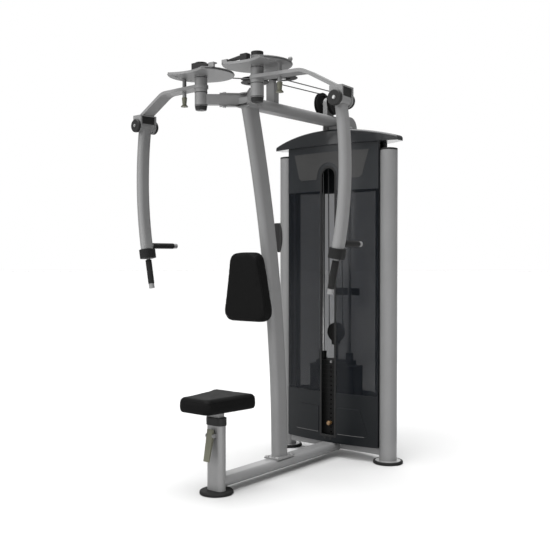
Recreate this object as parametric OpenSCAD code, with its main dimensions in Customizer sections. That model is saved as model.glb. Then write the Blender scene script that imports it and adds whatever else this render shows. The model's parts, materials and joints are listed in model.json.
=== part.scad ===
// Pec fly and rear delt station: a seat and back pad on a curved mast, two swinging arms on
// overhead cams, and a cable that lifts a weight stack in a shrouded tower.
// Millimetres. +Z is up, the user faces -Y, X = 0 is the plane of symmetry, Z = 0 is the floor.

/* [Tower] */
// Distance between the two column axes
column_spacing = 680; // [640:1:740]
// Outer diameter of a column
column_d = 95; // [85:1:105]
// Wall of the column tube
column_wall = 3; // [2:0.5:6]
// Height of the column tube's top
column_top = 1692; // [1600:1:1720]
// Height of the plastic cap on a column
column_cap_h = 15; // [8:1:22]
// Diameter of a rubber foot
foot_d = 162; // [140:1:190]
// Height of a rubber foot
foot_h = 16; // [12:1:24]
// Diameter of the steel disc let into a rear foot
foot_plate_d = 138; // [110:1:138]
// Thickness of the steel disc let into a rear foot
foot_plate_t = 6; // [4:0.5:8]
// Height of the underside of the rear crossbeam
crossbeam_z = 40; // [30:1:50]
// Depth and height of the rear crossbeam
crossbeam_size = 50; // [40:1:60]
// Height of the underside of the header between the columns
header_z = 1630; // [1600:1:1640]
// Depth of the header
header_depth = 50; // [40:1:54]
// Height of the header
header_h = 60; // [40:1:60]
// Distance of the header's front face behind the column axes
header_back = 8; // [6:1:9]

/* [Shroud] */
// Distance of the front panel ahead of the column axes at the centre
front_bulge = 82; // [78:1:90]
// Distance of the front panel ahead of the column axes at its edges
front_edge = 47; // [44:1:52]
// Distance of the rear panel behind the column axes at the centre
rear_bulge = 127; // [126:1:140]
// Distance by which the panels lap over the inner sides of the columns
panel_lap = 10.5; // [6:0.5:13.5]
// Thickness of the fascia panels
fascia_t = 5; // [3:0.5:6]
// Thickness of the tinted windows
window_t = 4; // [3:0.5:5]
// Height of the lower edge of the shroud
shroud_z = 80; // [80:1:95]
// Height where the lower fascia meets the windows
lower_fascia_top = 360; // [320:1:420]
// Height where the windows meet the upper fascia
upper_fascia_z = 1485; // [1400:1:1520]
// Half width of the slot in the front panels
slot_half = 42; // [36:1:48]
// Height of the lower end of the slot
slot_z = 123; // [110:1:140]
// Height of the crown of the slot's arch
slot_top = 1610; // [1560:1:1620]
// Height of the underside of the top cover
cover_z = 1740; // [1730:1:1760]
// Distance by which the top cover stands out past the columns
cover_side = 20.5; // [12:0.5:32]
// Height of the top cover's crown at its ends
cover_end_top = 1765; // [1762:1:1785]
// Height of the top cover's crown at its centre
cover_top = 1822; // [1800:1:1835]
// Distance by which the top cover overhangs the panels
cover_overhang = 13; // [8:1:16]
// Half depth of the top cover at its ends
cover_end_half = 30; // [24:1:40]
// Wall of the top cover
cover_t = 4; // [3:0.5:6]

/* [Base and mast] */
// Distance of the seat post ahead of the column axes
seat_reach = 1007; // [960:1:1040]
// Wide side of the flat-oval base and top beams and of the seat post
beam_w = 100; // [90:1:110]
// Narrow side of the flat-oval base and top beams and of the seat post
beam_h = 50; // [46:1:54]
// Wall of the flat-oval tubes
tube_wall = 3; // [2:0.5:4]
// Height of the underside of the base beam
base_beam_z = 30; // [26:1:30]
// Distance of the mast's foot ahead of the column axes
mast_reach = 523; // [500:1:545]
// Radius of the mast's long curve
mast_radius = 6758; // [6600:1:7000]
// Side of the mast across the machine
mast_w = 52; // [46:1:58]
// Side of the mast along the machine
mast_d = 102; // [94:1:108]
// Thickness of the plate under the mast
mast_plate_t = 8; // [6:1:12]
// Width of the plate under the mast
mast_plate_w = 90; // [80:1:96]
// Length of the plate under the mast
mast_plate_l = 140; // [136:1:160]
// Height of the underside of the top beam
top_beam_z = 1846; // [1840:1:1850]
// Distance of the top beam's rear end ahead of the column axes
top_beam_end = 40; // [34:1:46]
// Thickness of the saddle's cheek plates
saddle_t = 8; // [6:1:10]
// Distance of the saddle's front edge ahead of the column axes
saddle_front = 52; // [50:1:56]
// Distance of the saddle's rear edge behind the column axes
saddle_rear = 124; // [116:1:124]
// Height of the top of the saddle
saddle_top = 1905; // [1900:1:1920]
// Radius of the saddle's upper corners
saddle_corner = 64; // [50:1:70]

/* [Yoke and cams] */
// Distance of a cam pivot from the plane of symmetry
pivot_x = 178; // [174:1:186]
// Distance of the cam pivots ahead of the column axes
pivot_reach = 919; // [905:1:930]
// Outer diameter of the pivot housing and of the arm's sleeve
housing_d = 62; // [58:1:66]
// Height of the underside of the pivot housing
housing_z = 1855; // [1850:1:1858]
// Height of the seam between housing and sleeve
seam_z = 1921; // [1916:1:1925]
// Height of the arm's sleeve
sleeve_h = 70; // [64:1:72]
// Diameter of the pivot spindle
spindle_d = 30; // [24:1:36]
// Height of the plastic cap under the housing
housing_cap_h = 21; // [14:1:26]
// Width of a yoke bar
yoke_bar_w = 40; // [34:1:46]
// Height of a yoke bar
yoke_bar_h = 50; // [44:1:54]
// Height of the underside of the yoke bars
yoke_z = 1862; // [1860:1:1866]
// Thickness of the gusset plates above and below the yoke
gusset_t = 6; // [4:0.5:6]
// Length of a gusset's wing from the apex of the yoke
gusset_l = 150; // [120:1:170]
// Height of the underside of the cam plate above the top beam
cam_z = 107; // [104:1:110]
// Thickness of the cam plate
cam_t = 12; // [11:0.5:14]
// Radius of the cam's rim
cam_r = 162; // [154:1:166]
// Radius of the bite out of the cam's front edge
bite_r = 213; // [180:1:240]
// Distance from the pivot to the bottom of that bite
bite_depth = 87; // [80:1:95]
// Height of the hub above the cam plate
hub_h = 35; // [30:1:40]
// Height of the plastic cap on the hub
hub_cap_h = 20; // [12:1:24]
// Diameter of the cam's hub
hub_d = 60; // [54:1:62]
// Radius of the circle of index holes
index_r = 124; // [118:1:128]
// Angle between two index holes
index_step = 9; // [8:0.5:10]

/* [Arms] */
// Angle by which the arms point back at rest
arm_angle = 5; // [2:0.5:8]
// Width of the upper arm's flat bar
arm_w = 72; // [66:1:76]
// Thickness of the upper arm's flat bar
arm_t = 16; // [12:0.5:18]
// Height of the arm's axis at the pivot
arm_z = 1948; // [1944:1:1952]
// Distance from the pivot to the elbow
elbow_s = 443; // [430:1:460]
// Height of the elbow pin
elbow_z = 1801; // [1796:1:1806]
// Slope of the arm's outer stretch
arm_slope = 28.5; // [27:0.5:31]
// Radius of the bend in the arm
arm_bend_r = 110; // [90:1:130]
// Radius of the elbow barrel
barrel_r = 28; // [26:0.5:30]
// Length of the elbow barrel
barrel_l = 83; // [78:1:88]
// Thickness of the clevis cheeks
cheek_t = 10; // [8:0.5:12]
// Height from the elbow pin to the underside of the clevis plate
clevis_h = 50; // [46:1:52]
// Thickness of the clevis plate
clevis_t = 6; // [5:0.5:8]
// Diameter of the elbow pin
elbow_pin_d = 20; // [16:1:22]
// Diameter of the caps on the elbow
elbow_cap_d = 69; // [62:1:72]
// Thickness of the caps on the elbow
elbow_cap_t = 15; // [10:1:18]
// Wide side of the flat-oval forearm tube
forearm_w = 70; // [64:1:74]
// Narrow side of the flat-oval forearm tube
forearm_d = 44; // [40:1:48]
// Radius of the forearm's curve
forearm_radius = 1850; // [1750:1:2000]
// Height at which the forearm stands out furthest
forearm_mid_z = 1510; // [1490:1:1530]
// Distance by which the forearm stands out past the elbow there
forearm_bulge = 19; // [14:1:24]
// Height of the forearm's lower end
forearm_end_z = 1150; // [1130:1:1170]
// Height of the collar at the forearm's lower end
collar_h = 40; // [32:1:46]
// Length of the hanging grip
grip_l = 126; // [116:1:136]
// Diameter of the hanging grip
grip_d = 32; // [28:1:36]
// Length of the rearward grip
rear_grip_l = 140; // [120:1:150]
// Diameter of the rearward grip
rear_grip_d = 30; // [26:1:34]
// Diameter of the steel core of a grip
core_d = 20; // [16:1:22]
// Length of the metal cap on the end of a grip
grip_cap_l = 24; // [16:1:28]
// Distance above the forearm's end where the rearward grip stands
rear_grip_up = 26; // [22:1:40]
// Diameter of the pop pin
pop_pin_d = 10; // [8:0.5:11]
// Diameter of the pop pin's guide barrel
pop_barrel_d = 20; // [18:0.5:22]
// Travel of the pop pin
pop_travel = 8; // [6:0.5:10]
// Height of the lower end of the guide barrel
pop_barrel_z = 1913; // [1908:1:1918]
// Height of the pop pin's knob
pop_knob_h = 47; // [40:1:54]

/* [Cable and pulleys] */
// Diameter of the cable
cable_d = 6; // [4:0.5:7]
// Distance of the guide pulleys from the plane of symmetry
guide_x = 92; // [88:1:96]
// Distance of the guide pulleys ahead of the column axes
guide_reach = 610; // [600:1:620]
// Height of the cable on the guide pulleys
guide_z = 2018; // [2016:1:2021]
// Radius of the cable on the guide pulleys
guide_r = 46; // [44:1:50]
// Height of a guide pulley's flange above the cable line
guide_flange = 26; // [20:1:28]
// Height of the other pulleys' flanges above the cable line
flange_h = 8; // [6:0.5:10]
// Thickness of a pulley
pulley_t = 20; // [18:1:22]
// Diameter of the pulley pins
pulley_pin_d = 18; // [14:1:18]
// Width of the post that carries the guide pulleys
post_w = 50; // [40:1:54]
// Depth of the post that carries the guide pulleys
post_d = 40; // [34:1:46]
// Width of the post's neck between the guide pulleys
neck_w = 30; // [24:1:36]
// Depth of the post's neck between the guide pulleys
neck_d = 24; // [20:1:32]
// Distance of the tower pulleys from the plane of symmetry
tower_pulley_x = 42; // [40:1:44]
// Distance of the tower pulleys ahead of the column axes
tower_pulley_reach = 80; // [78:1:84]
// Height of the tower pulleys' axis
tower_pulley_z = 1967; // [1964:1:1972]
// Radius of the cable on the tower pulleys
tower_pulley_r = 57; // [54:1:58]
// Thickness of the bracket between the tower pulleys
bracket_t = 28; // [26:1:34]
// Height of the floating pulley's axis
float_z = 691; // [680:1:720]
// Radius of the cable on the floating pulley
float_r = 46; // [44:1:50]

/* [Weight stack] */
// Distance of a guide rod from the plane of symmetry
rod_x = 90; // [84:1:98]
// Diameter of a guide rod
rod_d = 20; // [18:1:24]
// Height of the lowest plate's underside
stack_z = 120; // [112:1:130]
// Number of plates
plate_count = 15; // [12:1:15]
// Number of plates under the selector pin
resting_count = 2; // [1:1:6]
// Pitch of the plates
plate_pitch = 26; // [24:0.5:26]
// Width of a plate
plate_w = 290; // [260:1:300]
// Depth of a plate
plate_d = 100; // [90:1:104]
// Width of the head plate
head_w = 206; // [200:1:230]
// Thickness of the head plate
head_t = 25; // [20:1:30]
// Diameter of the selector rod
selector_rod_d = 25; // [22:1:28]
// Diameter of the selector pin
selector_pin_d = 9; // [8:0.5:10]
// Length of the selector pin's knob
selector_knob_l = 30; // [24:1:34]

/* [Seat and back pad] */
// Height of the top of the seat
seat_top = 464; // [458:1:480]
// Thickness of the seat pad
seat_t = 66; // [50:1:70]
// Distance of the seat's front edge ahead of the seat post
seat_front = 168; // [160:1:176]
// Distance of the seat's rear edge behind the seat post
seat_back = 152; // [140:1:164]
// Half width of the seat at its front edge
seat_front_half = 100; // [90:1:110]
// Half width of the seat at its rear edge
seat_back_half = 135; // [125:1:145]
// Radius of the seat's corners
seat_corner = 36; // [24:1:48]
// Height of the top of the outer seat post
post_top = 340; // [330:1:350]
// Height of the plastic collar's top
post_collar_top = 362; // [356:1:372]
// Depth by which the collar laps over the post
collar_lap = 15; // [10:1:20]
// Wall of the collar outside the post
collar_wall = 4.5; // [3:0.5:6]
// Wide side of the sliding inner post
inner_w = 68; // [60:1:70]
// Narrow side of the sliding inner post
inner_d = 38; // [34:1:39]
// Length of the sliding inner post
inner_l = 290; // [270:1:300]
// Height of the seat lever's pivot
lever_z = 280; // [270:1:290]
// Distance of the lever's pivot ahead of the seat post's face
lever_out = 19; // [18:1:24]
// Width of the seat lever
lever_w = 36; // [30:1:40]
// Length of the lever above its pivot
lever_up = 30; // [20:1:32]
// Length of the lever below its pivot
lever_down = 121; // [100:1:130]
// Lean of the lever's lower end away from the post
lever_lean = 10.5; // [9:0.5:12]
// Height of the back pad's lower edge
pad_z = 797; // [780:1:820]
// Height of the back pad
pad_h = 343; // [320:1:360]
// Thickness of the back pad
pad_t = 60; // [50:1:66]
// Half width of the back pad at the bottom
pad_bottom_half = 135; // [125:1:145]
// Half width of the back pad at the top
pad_top_half = 94; // [85:1:105]
// Radius of the back pad's corners
pad_corner = 52; // [40:1:60]
// Distance of the back pad's face ahead of the column axes at its lower edge
pad_reach = 805; // [795:1:815]
// Forward lean of the back pad
pad_lean = 2; // [1:0.5:3]
// Height of the accessory hook's lower edge
hook_z = 1144; // [1100:1:1180]
// Height of the accessory hook
hook_h = 173; // [150:1:190]
// Distance by which the accessory hook stands out from the column
hook_out = 57; // [44:1:64]

/* [Hidden] */
// Clearance between parts that move past each other
clear = 0.3;
// Radial clearance of a shaft in its bore
running = 0.05;
$fn = 64;

// Rows along Y, with the origin under the middle of the whole machine
front_reach = seat_reach + seat_front;
rear_reach = rear_bulge + cover_overhang;
tower_y = (front_reach - rear_reach) / 2;
seat_y = tower_y - seat_reach;
mast_y = tower_y - mast_reach;
pivot_y = tower_y - pivot_reach;
guide_y = tower_y - guide_reach;
tower_pulley_y = tower_y - tower_pulley_reach;

// Tower
column_x = column_spacing / 2;
column_r = column_d / 2;
panel_half = column_x - column_r + panel_lap;
cover_half = column_x + column_r + cover_side;
crossbeam_top = crossbeam_z + crossbeam_size;
header_top = header_z + header_h;
rod_plate_t = 6;
front_sag = front_bulge - front_edge;
front_r = (panel_half ^ 2 + front_sag ^ 2) / (2 * front_sag);
rear_sag = rear_bulge - front_edge;
rear_r = (panel_half ^ 2 + rear_sag ^ 2) / (2 * rear_sag);
cover_front = front_bulge + cover_overhang;
cover_rear = rear_bulge + cover_overhang;
rail_w = 18;
rail_gap = 20;

// Mast and beams
base_beam_top = base_beam_z + beam_h;
mast_foot_z = base_beam_top + mast_plate_t;
mast_top_angle = asin((top_beam_z - base_beam_top) / mast_radius);
mast_top_y = mast_y - mast_radius * (1 - cos(mast_top_angle));
top_beam_top = top_beam_z + beam_h;
top_beam_front = mast_top_y - mast_d / 2 - 2;
top_beam_rear = tower_y - top_beam_end;

// Pivots, cams and arms
housing_r = housing_d / 2;
spindle_r = spindle_d / 2;
housing_top = seam_z - clear;
sleeve_top = seam_z + sleeve_h;
cam_low = top_beam_top + cam_z;
cam_top = cam_low + cam_t;
hub_top = cam_top + hub_h;
yoke_top = yoke_z + yoke_bar_h;
yoke_length = norm([pivot_x, mast_top_y - pivot_y]);
yoke_angle = atan2(pivot_y - mast_top_y, pivot_x);
cable_r = cable_d / 2;
clevis_top = elbow_z + clevis_h + clevis_t;
clevis_half = barrel_l / 2 + clear + cheek_t;
clevis_lead = 14;
arm_bend_drop = arm_bend_r * (1 - cos(arm_slope));
arm_fall = arm_z - arm_bend_drop - clevis_top;
arm_bend_s = elbow_s - clevis_lead - arm_fall / tan(arm_slope) - arm_bend_r * sin(arm_slope);
arm_foot = arm_t / sin(arm_slope);
index_pin_r = pop_pin_d / 2 + 0.5;
forearm_s = elbow_s + forearm_bulge - forearm_radius;
forearm_low = asin((forearm_end_z - forearm_mid_z) / forearm_radius);
forearm_high = asin((elbow_z - forearm_mid_z) / forearm_radius);

// Cable route on the right: out from the cam, round the guide pulley, over the tower pulley
guide_dx = guide_x - pivot_x;
guide_dy = guide_y - pivot_y;
leave_angle = atan2(guide_dy, guide_dx) + asin(guide_r / norm([guide_dx, guide_dy]));
run_dx = tower_pulley_x - guide_x;
run_dy = tower_pulley_y - guide_y;
run_angle = atan2(run_dy, run_dx) - asin(guide_r / norm([run_dx, run_dy]));
cam_cable_z = cam_low + cam_t / 2;
drop_top = [tower_pulley_x, tower_pulley_y + tower_pulley_r, tower_pulley_z];
drop_end = [float_r, tower_y, float_z];

// Weight stack
plate_t = plate_pitch - clear;
plates_top = stack_z + plate_count * plate_pitch;
head_top = plates_top + head_t;
pin_z = stack_z + resting_count * plate_pitch + plate_t / 2;

// Seat and pads
seat_z = seat_top - seat_t;
seat_plate_t = 6;
seat_plate_z = seat_z - seat_plate_t;
lever_y = seat_y - beam_h / 2 - lever_out;
lever_t = 8;
lever_pin_r = 4;
lever_boss_r = 9;
post_back = 30;
guide_plate_t = 6;
guide_plate_z = guide_z + pulley_t / 2 + 2;
neck_z = guide_z - pulley_t / 2 - 12;
pad_mid_z = pad_z + pad_h / 2;

// Flat-oval section, w along X and h along Y
module flat_oval(w, h) {
    square([w - h, h], center = true);
    for (side = [-1, 1])
        translate([side * (w - h) / 2, 0])
            circle(d = h);
}

// Section of a flat-oval tube
module oval_ring(w, h, wall) {
    difference() {
        flat_oval(w, h);
        flat_oval(w - 2 * wall, h - 2 * wall);
    }
}

// Turns a section drawn in X and Y into one that runs along +X, its X along Y and its Y along Z
module run_x() {
    rotate([90, 0, 90])
        children();
}

// Turns a section drawn in X and Y into one that runs along +Y, its X along X and its Y along Z
module run_y() {
    rotate([90, 0, 180])
        children();
}

// Turns what revolves about Z into what revolves about Y, angles running from +X to +Z
module revolve_y() {
    rotate([90, 0, 0])
        children();
}

// A copy on the other side of the plane of symmetry
module other_side() {
    mirror([1, 0, 0])
        children();
}

// A child on each side of the plane of symmetry
module both_sides() {
    children();
    other_side()
        children();
}

module on_pivot() {
    translate([pivot_x, pivot_y, 0])
        children();
}

module on_arm() {
    on_pivot()
        rotate([0, 0, arm_angle])
            children();
}

// Columns and feet

module column() {
    translate([column_x, tower_y, 0]) {
        difference() {
            translate([0, 0, foot_h])
                cylinder(r = column_r, h = column_top - foot_h);
            translate([0, 0, foot_h])
                cylinder(r = column_r - column_wall, h = column_top);
        }
        translate([0, 0, foot_h - foot_plate_t])
            cylinder(d = foot_plate_d, h = foot_plate_t);
    }
}

module right_column() {
    color("silver")
        column();
}

module left_column() {
    color("silver")
        other_side()
            column();
}

// A cap with a slightly domed top on the end of a round tube
module domed_cap(r, h) {
    dome_r = 4 * r;
    intersection() {
        cylinder(r = r, h = h);
        translate([0, 0, h - dome_r])
            sphere(r = dome_r);
    }
}

module tube_caps() {
    color("#202020")
        both_sides() {
            translate([column_x, tower_y, column_top])
                domed_cap(column_r, column_cap_h);
            on_pivot()
                translate([0, 0, housing_z - housing_cap_h])
                    cylinder(r1 = housing_r - 4, r2 = housing_r, h = housing_cap_h);
        }
}

module rear_foot() {
    translate([column_x, tower_y, 0])
        difference() {
            foot();
            translate([0, 0, foot_h - foot_plate_t])
                cylinder(d = foot_plate_d, h = foot_h);
        }
}

module foot() {
    lip = 4;
    cylinder(d = foot_d, h = foot_h - lip);
    translate([0, 0, foot_h - lip])
        cylinder(d1 = foot_d, d2 = foot_d - 2 * lip, h = lip);
}

module feet() {
    color("#252525") {
        both_sides()
            rear_foot();
        translate([0, seat_y, 0])
            foot();
    }
}

// The two columns as solid bars, to cut what butts against them
module column_bars(top = column_top) {
    both_sides()
        translate([column_x, tower_y, 0])
            cylinder(r = column_r, h = top);
}

module rear_crossbeam() {
    color("silver")
        difference() {
            translate([-column_x, tower_y - crossbeam_size / 2, crossbeam_z])
                cube([column_spacing, crossbeam_size, crossbeam_size]);
            translate([-column_x, tower_y - crossbeam_size / 2 + tube_wall, crossbeam_z + tube_wall])
                cube([column_spacing, crossbeam_size - 2 * tube_wall, crossbeam_size - 2 * tube_wall]);
            column_bars();
        }
}

// Hollow crosspiece over the stack, its ends on the columns between the panel rails, with the
// plate that the guide rods end in
module tower_header() {
    plate_half = rod_x + rod_d;
    cable_gap = 3 * cable_d;
    tube_half = panel_half - 2.5 * rail_w;
    end_half = rail_gap - 2;
    inner_h = header_h - rod_plate_t - tube_wall;
    color("silver")
        difference() {
            union() {
                translate([-tube_half, tower_y + header_back, header_z])
                    cube([2 * tube_half, header_depth, header_h]);
                translate([-plate_half, tower_y - rod_d, header_z])
                    cube([2 * plate_half, rod_d + header_back + 1, rod_plate_t]);
                both_sides()
                    translate([tube_half - rail_w, tower_y - end_half, header_z])
                        cube([column_x - tube_half + rail_w, 2 * end_half, header_h]);
            }
            translate([rail_w - tube_half, tower_y + header_back + tube_wall, header_z + rod_plate_t])
                cube([2 * (tube_half - rail_w), header_depth - 2 * tube_wall, inner_h]);
            both_sides()
                translate([tower_pulley_x - cable_gap, tower_y - rod_d - 1, header_z - 1])
                    cube([2 * cable_gap, rod_d + 1, rod_plate_t + 2]);
            column_bars();
        }
}

// Base

module base_beam_outline(w, h) {
    translate([0, seat_y, base_beam_z + beam_h / 2])
        rotate([90, 0, 180])
            linear_extrude(tower_y - crossbeam_size / 2 - seat_y)
                flat_oval(w, h);
}

module seat_post_bar() {
    translate([0, seat_y, foot_h])
        linear_extrude(post_top - foot_h)
            flat_oval(beam_w, beam_h);
}

module base_beam() {
    color("silver")
        difference() {
            base_beam_outline(beam_w, beam_h);
            base_beam_outline(beam_w - 2 * tube_wall, beam_h - 2 * tube_wall);
            seat_post_bar();
        }
}

// Outer seat post with the two ears and the pin that carry the lever
module seat_post() {
    ear_t = 5;
    ear_x = lever_w / 2 + clear;
    color("silver") {
        difference() {
            seat_post_bar();
            translate([0, seat_y, foot_h + tube_wall])
                linear_extrude(post_top)
                    flat_oval(beam_w - 2 * tube_wall, beam_h - 2 * tube_wall);
        }
        difference() {
            for (side = [-1, 1])
                translate([side * (ear_x + ear_t / 2) - ear_t / 2, lever_y, lever_z])
                    run_x()
                        linear_extrude(ear_t) {
                            circle(r = lever_boss_r);
                            translate([0, -lever_boss_r])
                                square([lever_out + beam_h / 2 - tube_wall, 2 * lever_boss_r]);
                        }
            translate([0, seat_y, foot_h])
                linear_extrude(post_top)
                    flat_oval(beam_w, beam_h);
        }
        translate([-ear_x - ear_t / 2, lever_y, lever_z])
            rotate([0, 90, 0])
                cylinder(r = lever_pin_r, h = 2 * ear_x + ear_t);
    }
}

// Plastic bush and collar on the post's upper end
module post_collar() {
    color("#202020")
        difference() {
            translate([0, seat_y, post_top - collar_lap])
                linear_extrude(post_collar_top - post_top + collar_lap)
                    flat_oval(beam_w + 2 * collar_wall, beam_h + 2 * collar_wall);
            seat_post_bar();
            translate([0, seat_y, post_top])
                cube([inner_w + 2 * clear, inner_d + 2 * clear, beam_h], center = true);
            translate([0, seat_y, post_top - 1])
                linear_extrude(post_collar_top)
                    square([inner_w + 2 * clear, inner_d + 2 * clear], center = true);
        }
}

// Mast

module mast_arc(w, d) {
    translate([0, mast_y - mast_radius, base_beam_top])
        rotate([0, 0, 90])
            revolve_y()
                rotate_extrude(angle = mast_top_angle + 1, $fn = 1080)
                    translate([mast_radius, 0])
                        flat_oval(d, w);
}

module mast() {
    over = 200;
    color("silver") {
        difference() {
            mast_arc(mast_w, mast_d);
            mast_arc(mast_w - 2 * tube_wall, mast_d - 2 * tube_wall);
            translate([-mast_w, mast_top_y - over, top_beam_z])
                cube([2 * mast_w, 2 * over, over]);
            translate([-mast_w, mast_y - over, base_beam_top - over])
                cube([2 * mast_w, 2 * over, over + mast_plate_t]);
        }
        translate([-mast_plate_w / 2, mast_y - mast_plate_l / 2, base_beam_top])
            cube([mast_plate_w, mast_plate_l, mast_plate_t]);
    }
}

// Top beam, saddle and yoke

module top_beam_bar() {
    translate([0, top_beam_front, top_beam_z + beam_h / 2])
        run_y()
            linear_extrude(top_beam_rear - top_beam_front)
                flat_oval(beam_w, beam_h);
}

module top_beam() {
    color("silver")
        difference() {
            top_beam_bar();
            translate([0, top_beam_front + tube_wall, top_beam_z + beam_h / 2])
                run_y()
                    linear_extrude(top_beam_rear - top_beam_front - 2 * tube_wall)
                        flat_oval(beam_w - 2 * tube_wall, beam_h - 2 * tube_wall);
        }
}

// Two cheek plates that stand on the header and clamp the top beam's end between them
module saddle() {
    leg = header_depth + 2 * header_back;
    corner_z = saddle_top - saddle_corner;
    color("silver")
        both_sides()
            translate([beam_w / 2, tower_y, 0])
                run_x()
                    linear_extrude(saddle_t) {
                        translate([0, header_top])
                            square([leg, corner_z - header_top]);
                        translate([-saddle_front, cover_z + cover_end_half])
                            square([saddle_front + saddle_rear, corner_z - cover_z - cover_end_half]);
                        for (y = [saddle_corner - saddle_front, saddle_rear - saddle_corner])
                            translate([y, corner_z])
                                circle(r = saddle_corner);
                        translate([saddle_corner - saddle_front, corner_z])
                            square([saddle_front + saddle_rear - 2 * saddle_corner, saddle_corner]);
                    }
}

// A bar from the yoke's apex to the right pivot, drawn in plan
module yoke_line(width, length) {
    translate([0, mast_top_y])
        rotate(yoke_angle)
            translate([0, -width / 2])
                square([length, width]);
}

module yoke_bars() {
    color("silver")
        both_sides()
            difference() {
                translate([0, 0, yoke_z])
                    linear_extrude(yoke_bar_h)
                        intersection() {
                            yoke_line(yoke_bar_w, yoke_length);
                            translate([0, pivot_y - pivot_x])
                                square([2 * pivot_x, 2 * pivot_x + yoke_length]);
                        }
                top_beam_bar();
                on_pivot()
                    cylinder(r = housing_r, h = 2 * housing_z);
            }
}

// V-shaped plates bolted above and below the bars
module gusset() {
    linear_extrude(gusset_t)
        both_sides()
            union() {
                yoke_line(yoke_bar_w + 8, gusset_l);
                translate([0, mast_top_y])
                    circle(r = beam_w / 2 + 8);
            }
}

module yoke_gussets() {
    color("silver")
        difference() {
            for (z = [yoke_z - gusset_t, yoke_top])
                translate([0, 0, z])
                    gusset();
            top_beam_bar();
        }
}

module pivot_housings() {
    color("silver")
        both_sides()
            on_pivot()
                translate([0, 0, housing_z])
                    difference() {
                        cylinder(r = housing_r, h = housing_top - housing_z);
                        translate([0, 0, -1])
                            cylinder(r = spindle_r + running, h = housing_top);
                    }
}

// Hexagon heads on the gussets, the mast's plate and the saddle
module frame_bolts() {
    head_r = 9;
    head_h = 7;
    gusset_bolt = gusset_l - 24;
    plate_bolt_x = mast_plate_w / 2 - 13;
    plate_bolt_y = mast_plate_l / 2 - 9;
    color("#505050") {
        both_sides() {
            for (z = [yoke_z - gusset_t - head_h, yoke_top + gusset_t])
                translate([0, mast_top_y, z])
                    rotate(yoke_angle)
                        translate([gusset_bolt, 0, 0])
                            cylinder(r = head_r, h = head_h, $fn = 6);
            for (y = [-plate_bolt_y, plate_bolt_y])
                translate([plate_bolt_x, mast_y + y, base_beam_top + mast_plate_t])
                    cylinder(r = head_r, h = head_h, $fn = 6);
            for (y = [saddle_corner - saddle_front, saddle_rear - saddle_corner])
                translate([beam_w / 2 + saddle_t, tower_y + y, saddle_top - saddle_corner])
                    rotate([0, 90, 0])
                        cylinder(r = head_r, h = head_h, $fn = 6);
        }
    }
}

// Brackets, pulleys and pins

module pulley_brackets() {
    plate_half = guide_x + pulley_pin_d;
    bracket_half = 32;
    color("silver") {
        translate([-post_w / 2, guide_y + post_back - post_d / 2, top_beam_top])
            cube([post_w, post_d, neck_z - top_beam_top]);
        translate([-neck_w / 2, guide_y + post_back - neck_d / 2, neck_z - 1])
            cube([neck_w, neck_d, guide_plate_z - neck_z + 1]);
        difference() {
            translate([-plate_half, guide_y - pulley_pin_d, guide_plate_z])
                cube([2 * plate_half, pulley_pin_d + post_back + neck_d / 2, guide_plate_t]);
            both_sides()
                translate([guide_x, guide_y, guide_plate_z - 1])
                    cylinder(d = pulley_pin_d, h = guide_plate_t + 2);
        }
        difference() {
            translate([-bracket_t / 2, tower_pulley_y, tower_pulley_z])
                run_x()
                    linear_extrude(bracket_t) {
                        circle(r = bracket_half);
                        translate([-bracket_half, top_beam_top - tower_pulley_z])
                            square([2 * bracket_half, tower_pulley_z - top_beam_top]);
                    }
            translate([-bracket_t, tower_pulley_y, tower_pulley_z])
                rotate([0, 90, 0])
                    cylinder(d = pulley_pin_d, h = 2 * bracket_t);
        }
    }
}

// Pins of the guide pulleys, which hang from the plate, and of the two tower pulleys
module pulley_pins() {
    collar_r = pulley_pin_d / 2 + 4;
    head_h = 5;
    plate_top = guide_plate_z + guide_plate_t;
    pulley_low = guide_z - pulley_t / 2 - clear;
    pulley_high = guide_z + pulley_t / 2 + clear;
    inner_x = tower_pulley_x - pulley_t / 2 - clear;
    outer_x = tower_pulley_x + pulley_t / 2 + clear;
    color("#909090") {
        both_sides()
            translate([guide_x, guide_y, 0]) {
                translate([0, 0, pulley_low - 1])
                    cylinder(d = pulley_pin_d, h = plate_top - pulley_low + 1);
                translate([0, 0, pulley_high])
                    cylinder(r = collar_r, h = guide_plate_z - pulley_high);
                translate([0, 0, pulley_low - head_h])
                    cylinder(r = collar_r, h = head_h);
            }
        translate([0, tower_pulley_y, tower_pulley_z])
            rotate([0, 90, 0]) {
                cylinder(d = pulley_pin_d, h = 2 * outer_x + 2, center = true);
                for (side = [-1, 1]) {
                    translate([0, 0, side * (inner_x + bracket_t / 2) / 2])
                        cylinder(r = collar_r, h = inner_x - bracket_t / 2, center = true);
                    translate([0, 0, side * (outer_x + head_h / 2)])
                        cylinder(r = collar_r, h = head_h, center = true);
                }
            }
    }
}

// A grooved pulley about Z, its groove clear of a cable on the radius r
module pulley(r, flange_h) {
    groove = cable_r + clear;
    flange = r + flange_h;
    difference() {
        cylinder(r = flange, h = pulley_t, center = true);
        rotate_extrude()
            polygon([
                [r - groove, -groove],
                [r - groove, groove],
                [flange + 1, pulley_t / 2 - 2],
                [flange + 1, -pulley_t / 2 + 2]
            ]);
        rotate_extrude()
            translate([r, 0])
                circle(r = groove);
        cylinder(d = pulley_pin_d + 2 * running, h = pulley_t + 2, center = true);
        rotate_extrude()
            for (side = [0, 1])
                mirror([0, side])
                    translate([pulley_pin_d, pulley_t / 2 - 3])
                        square([r - groove - pulley_pin_d - 6, 4]);
    }
}

module guide_pulley() {
    translate([guide_x, guide_y, guide_z])
        pulley(guide_r, guide_flange);
}

module tower_pulley() {
    translate([tower_pulley_x, tower_pulley_y, tower_pulley_z])
        rotate([0, 90, 0])
            pulley(tower_pulley_r, flange_h);
}

module right_guide_pulley() {
    color("#181818")
        guide_pulley();
}

module left_guide_pulley() {
    color("#181818")
        other_side()
            guide_pulley();
}

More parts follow.
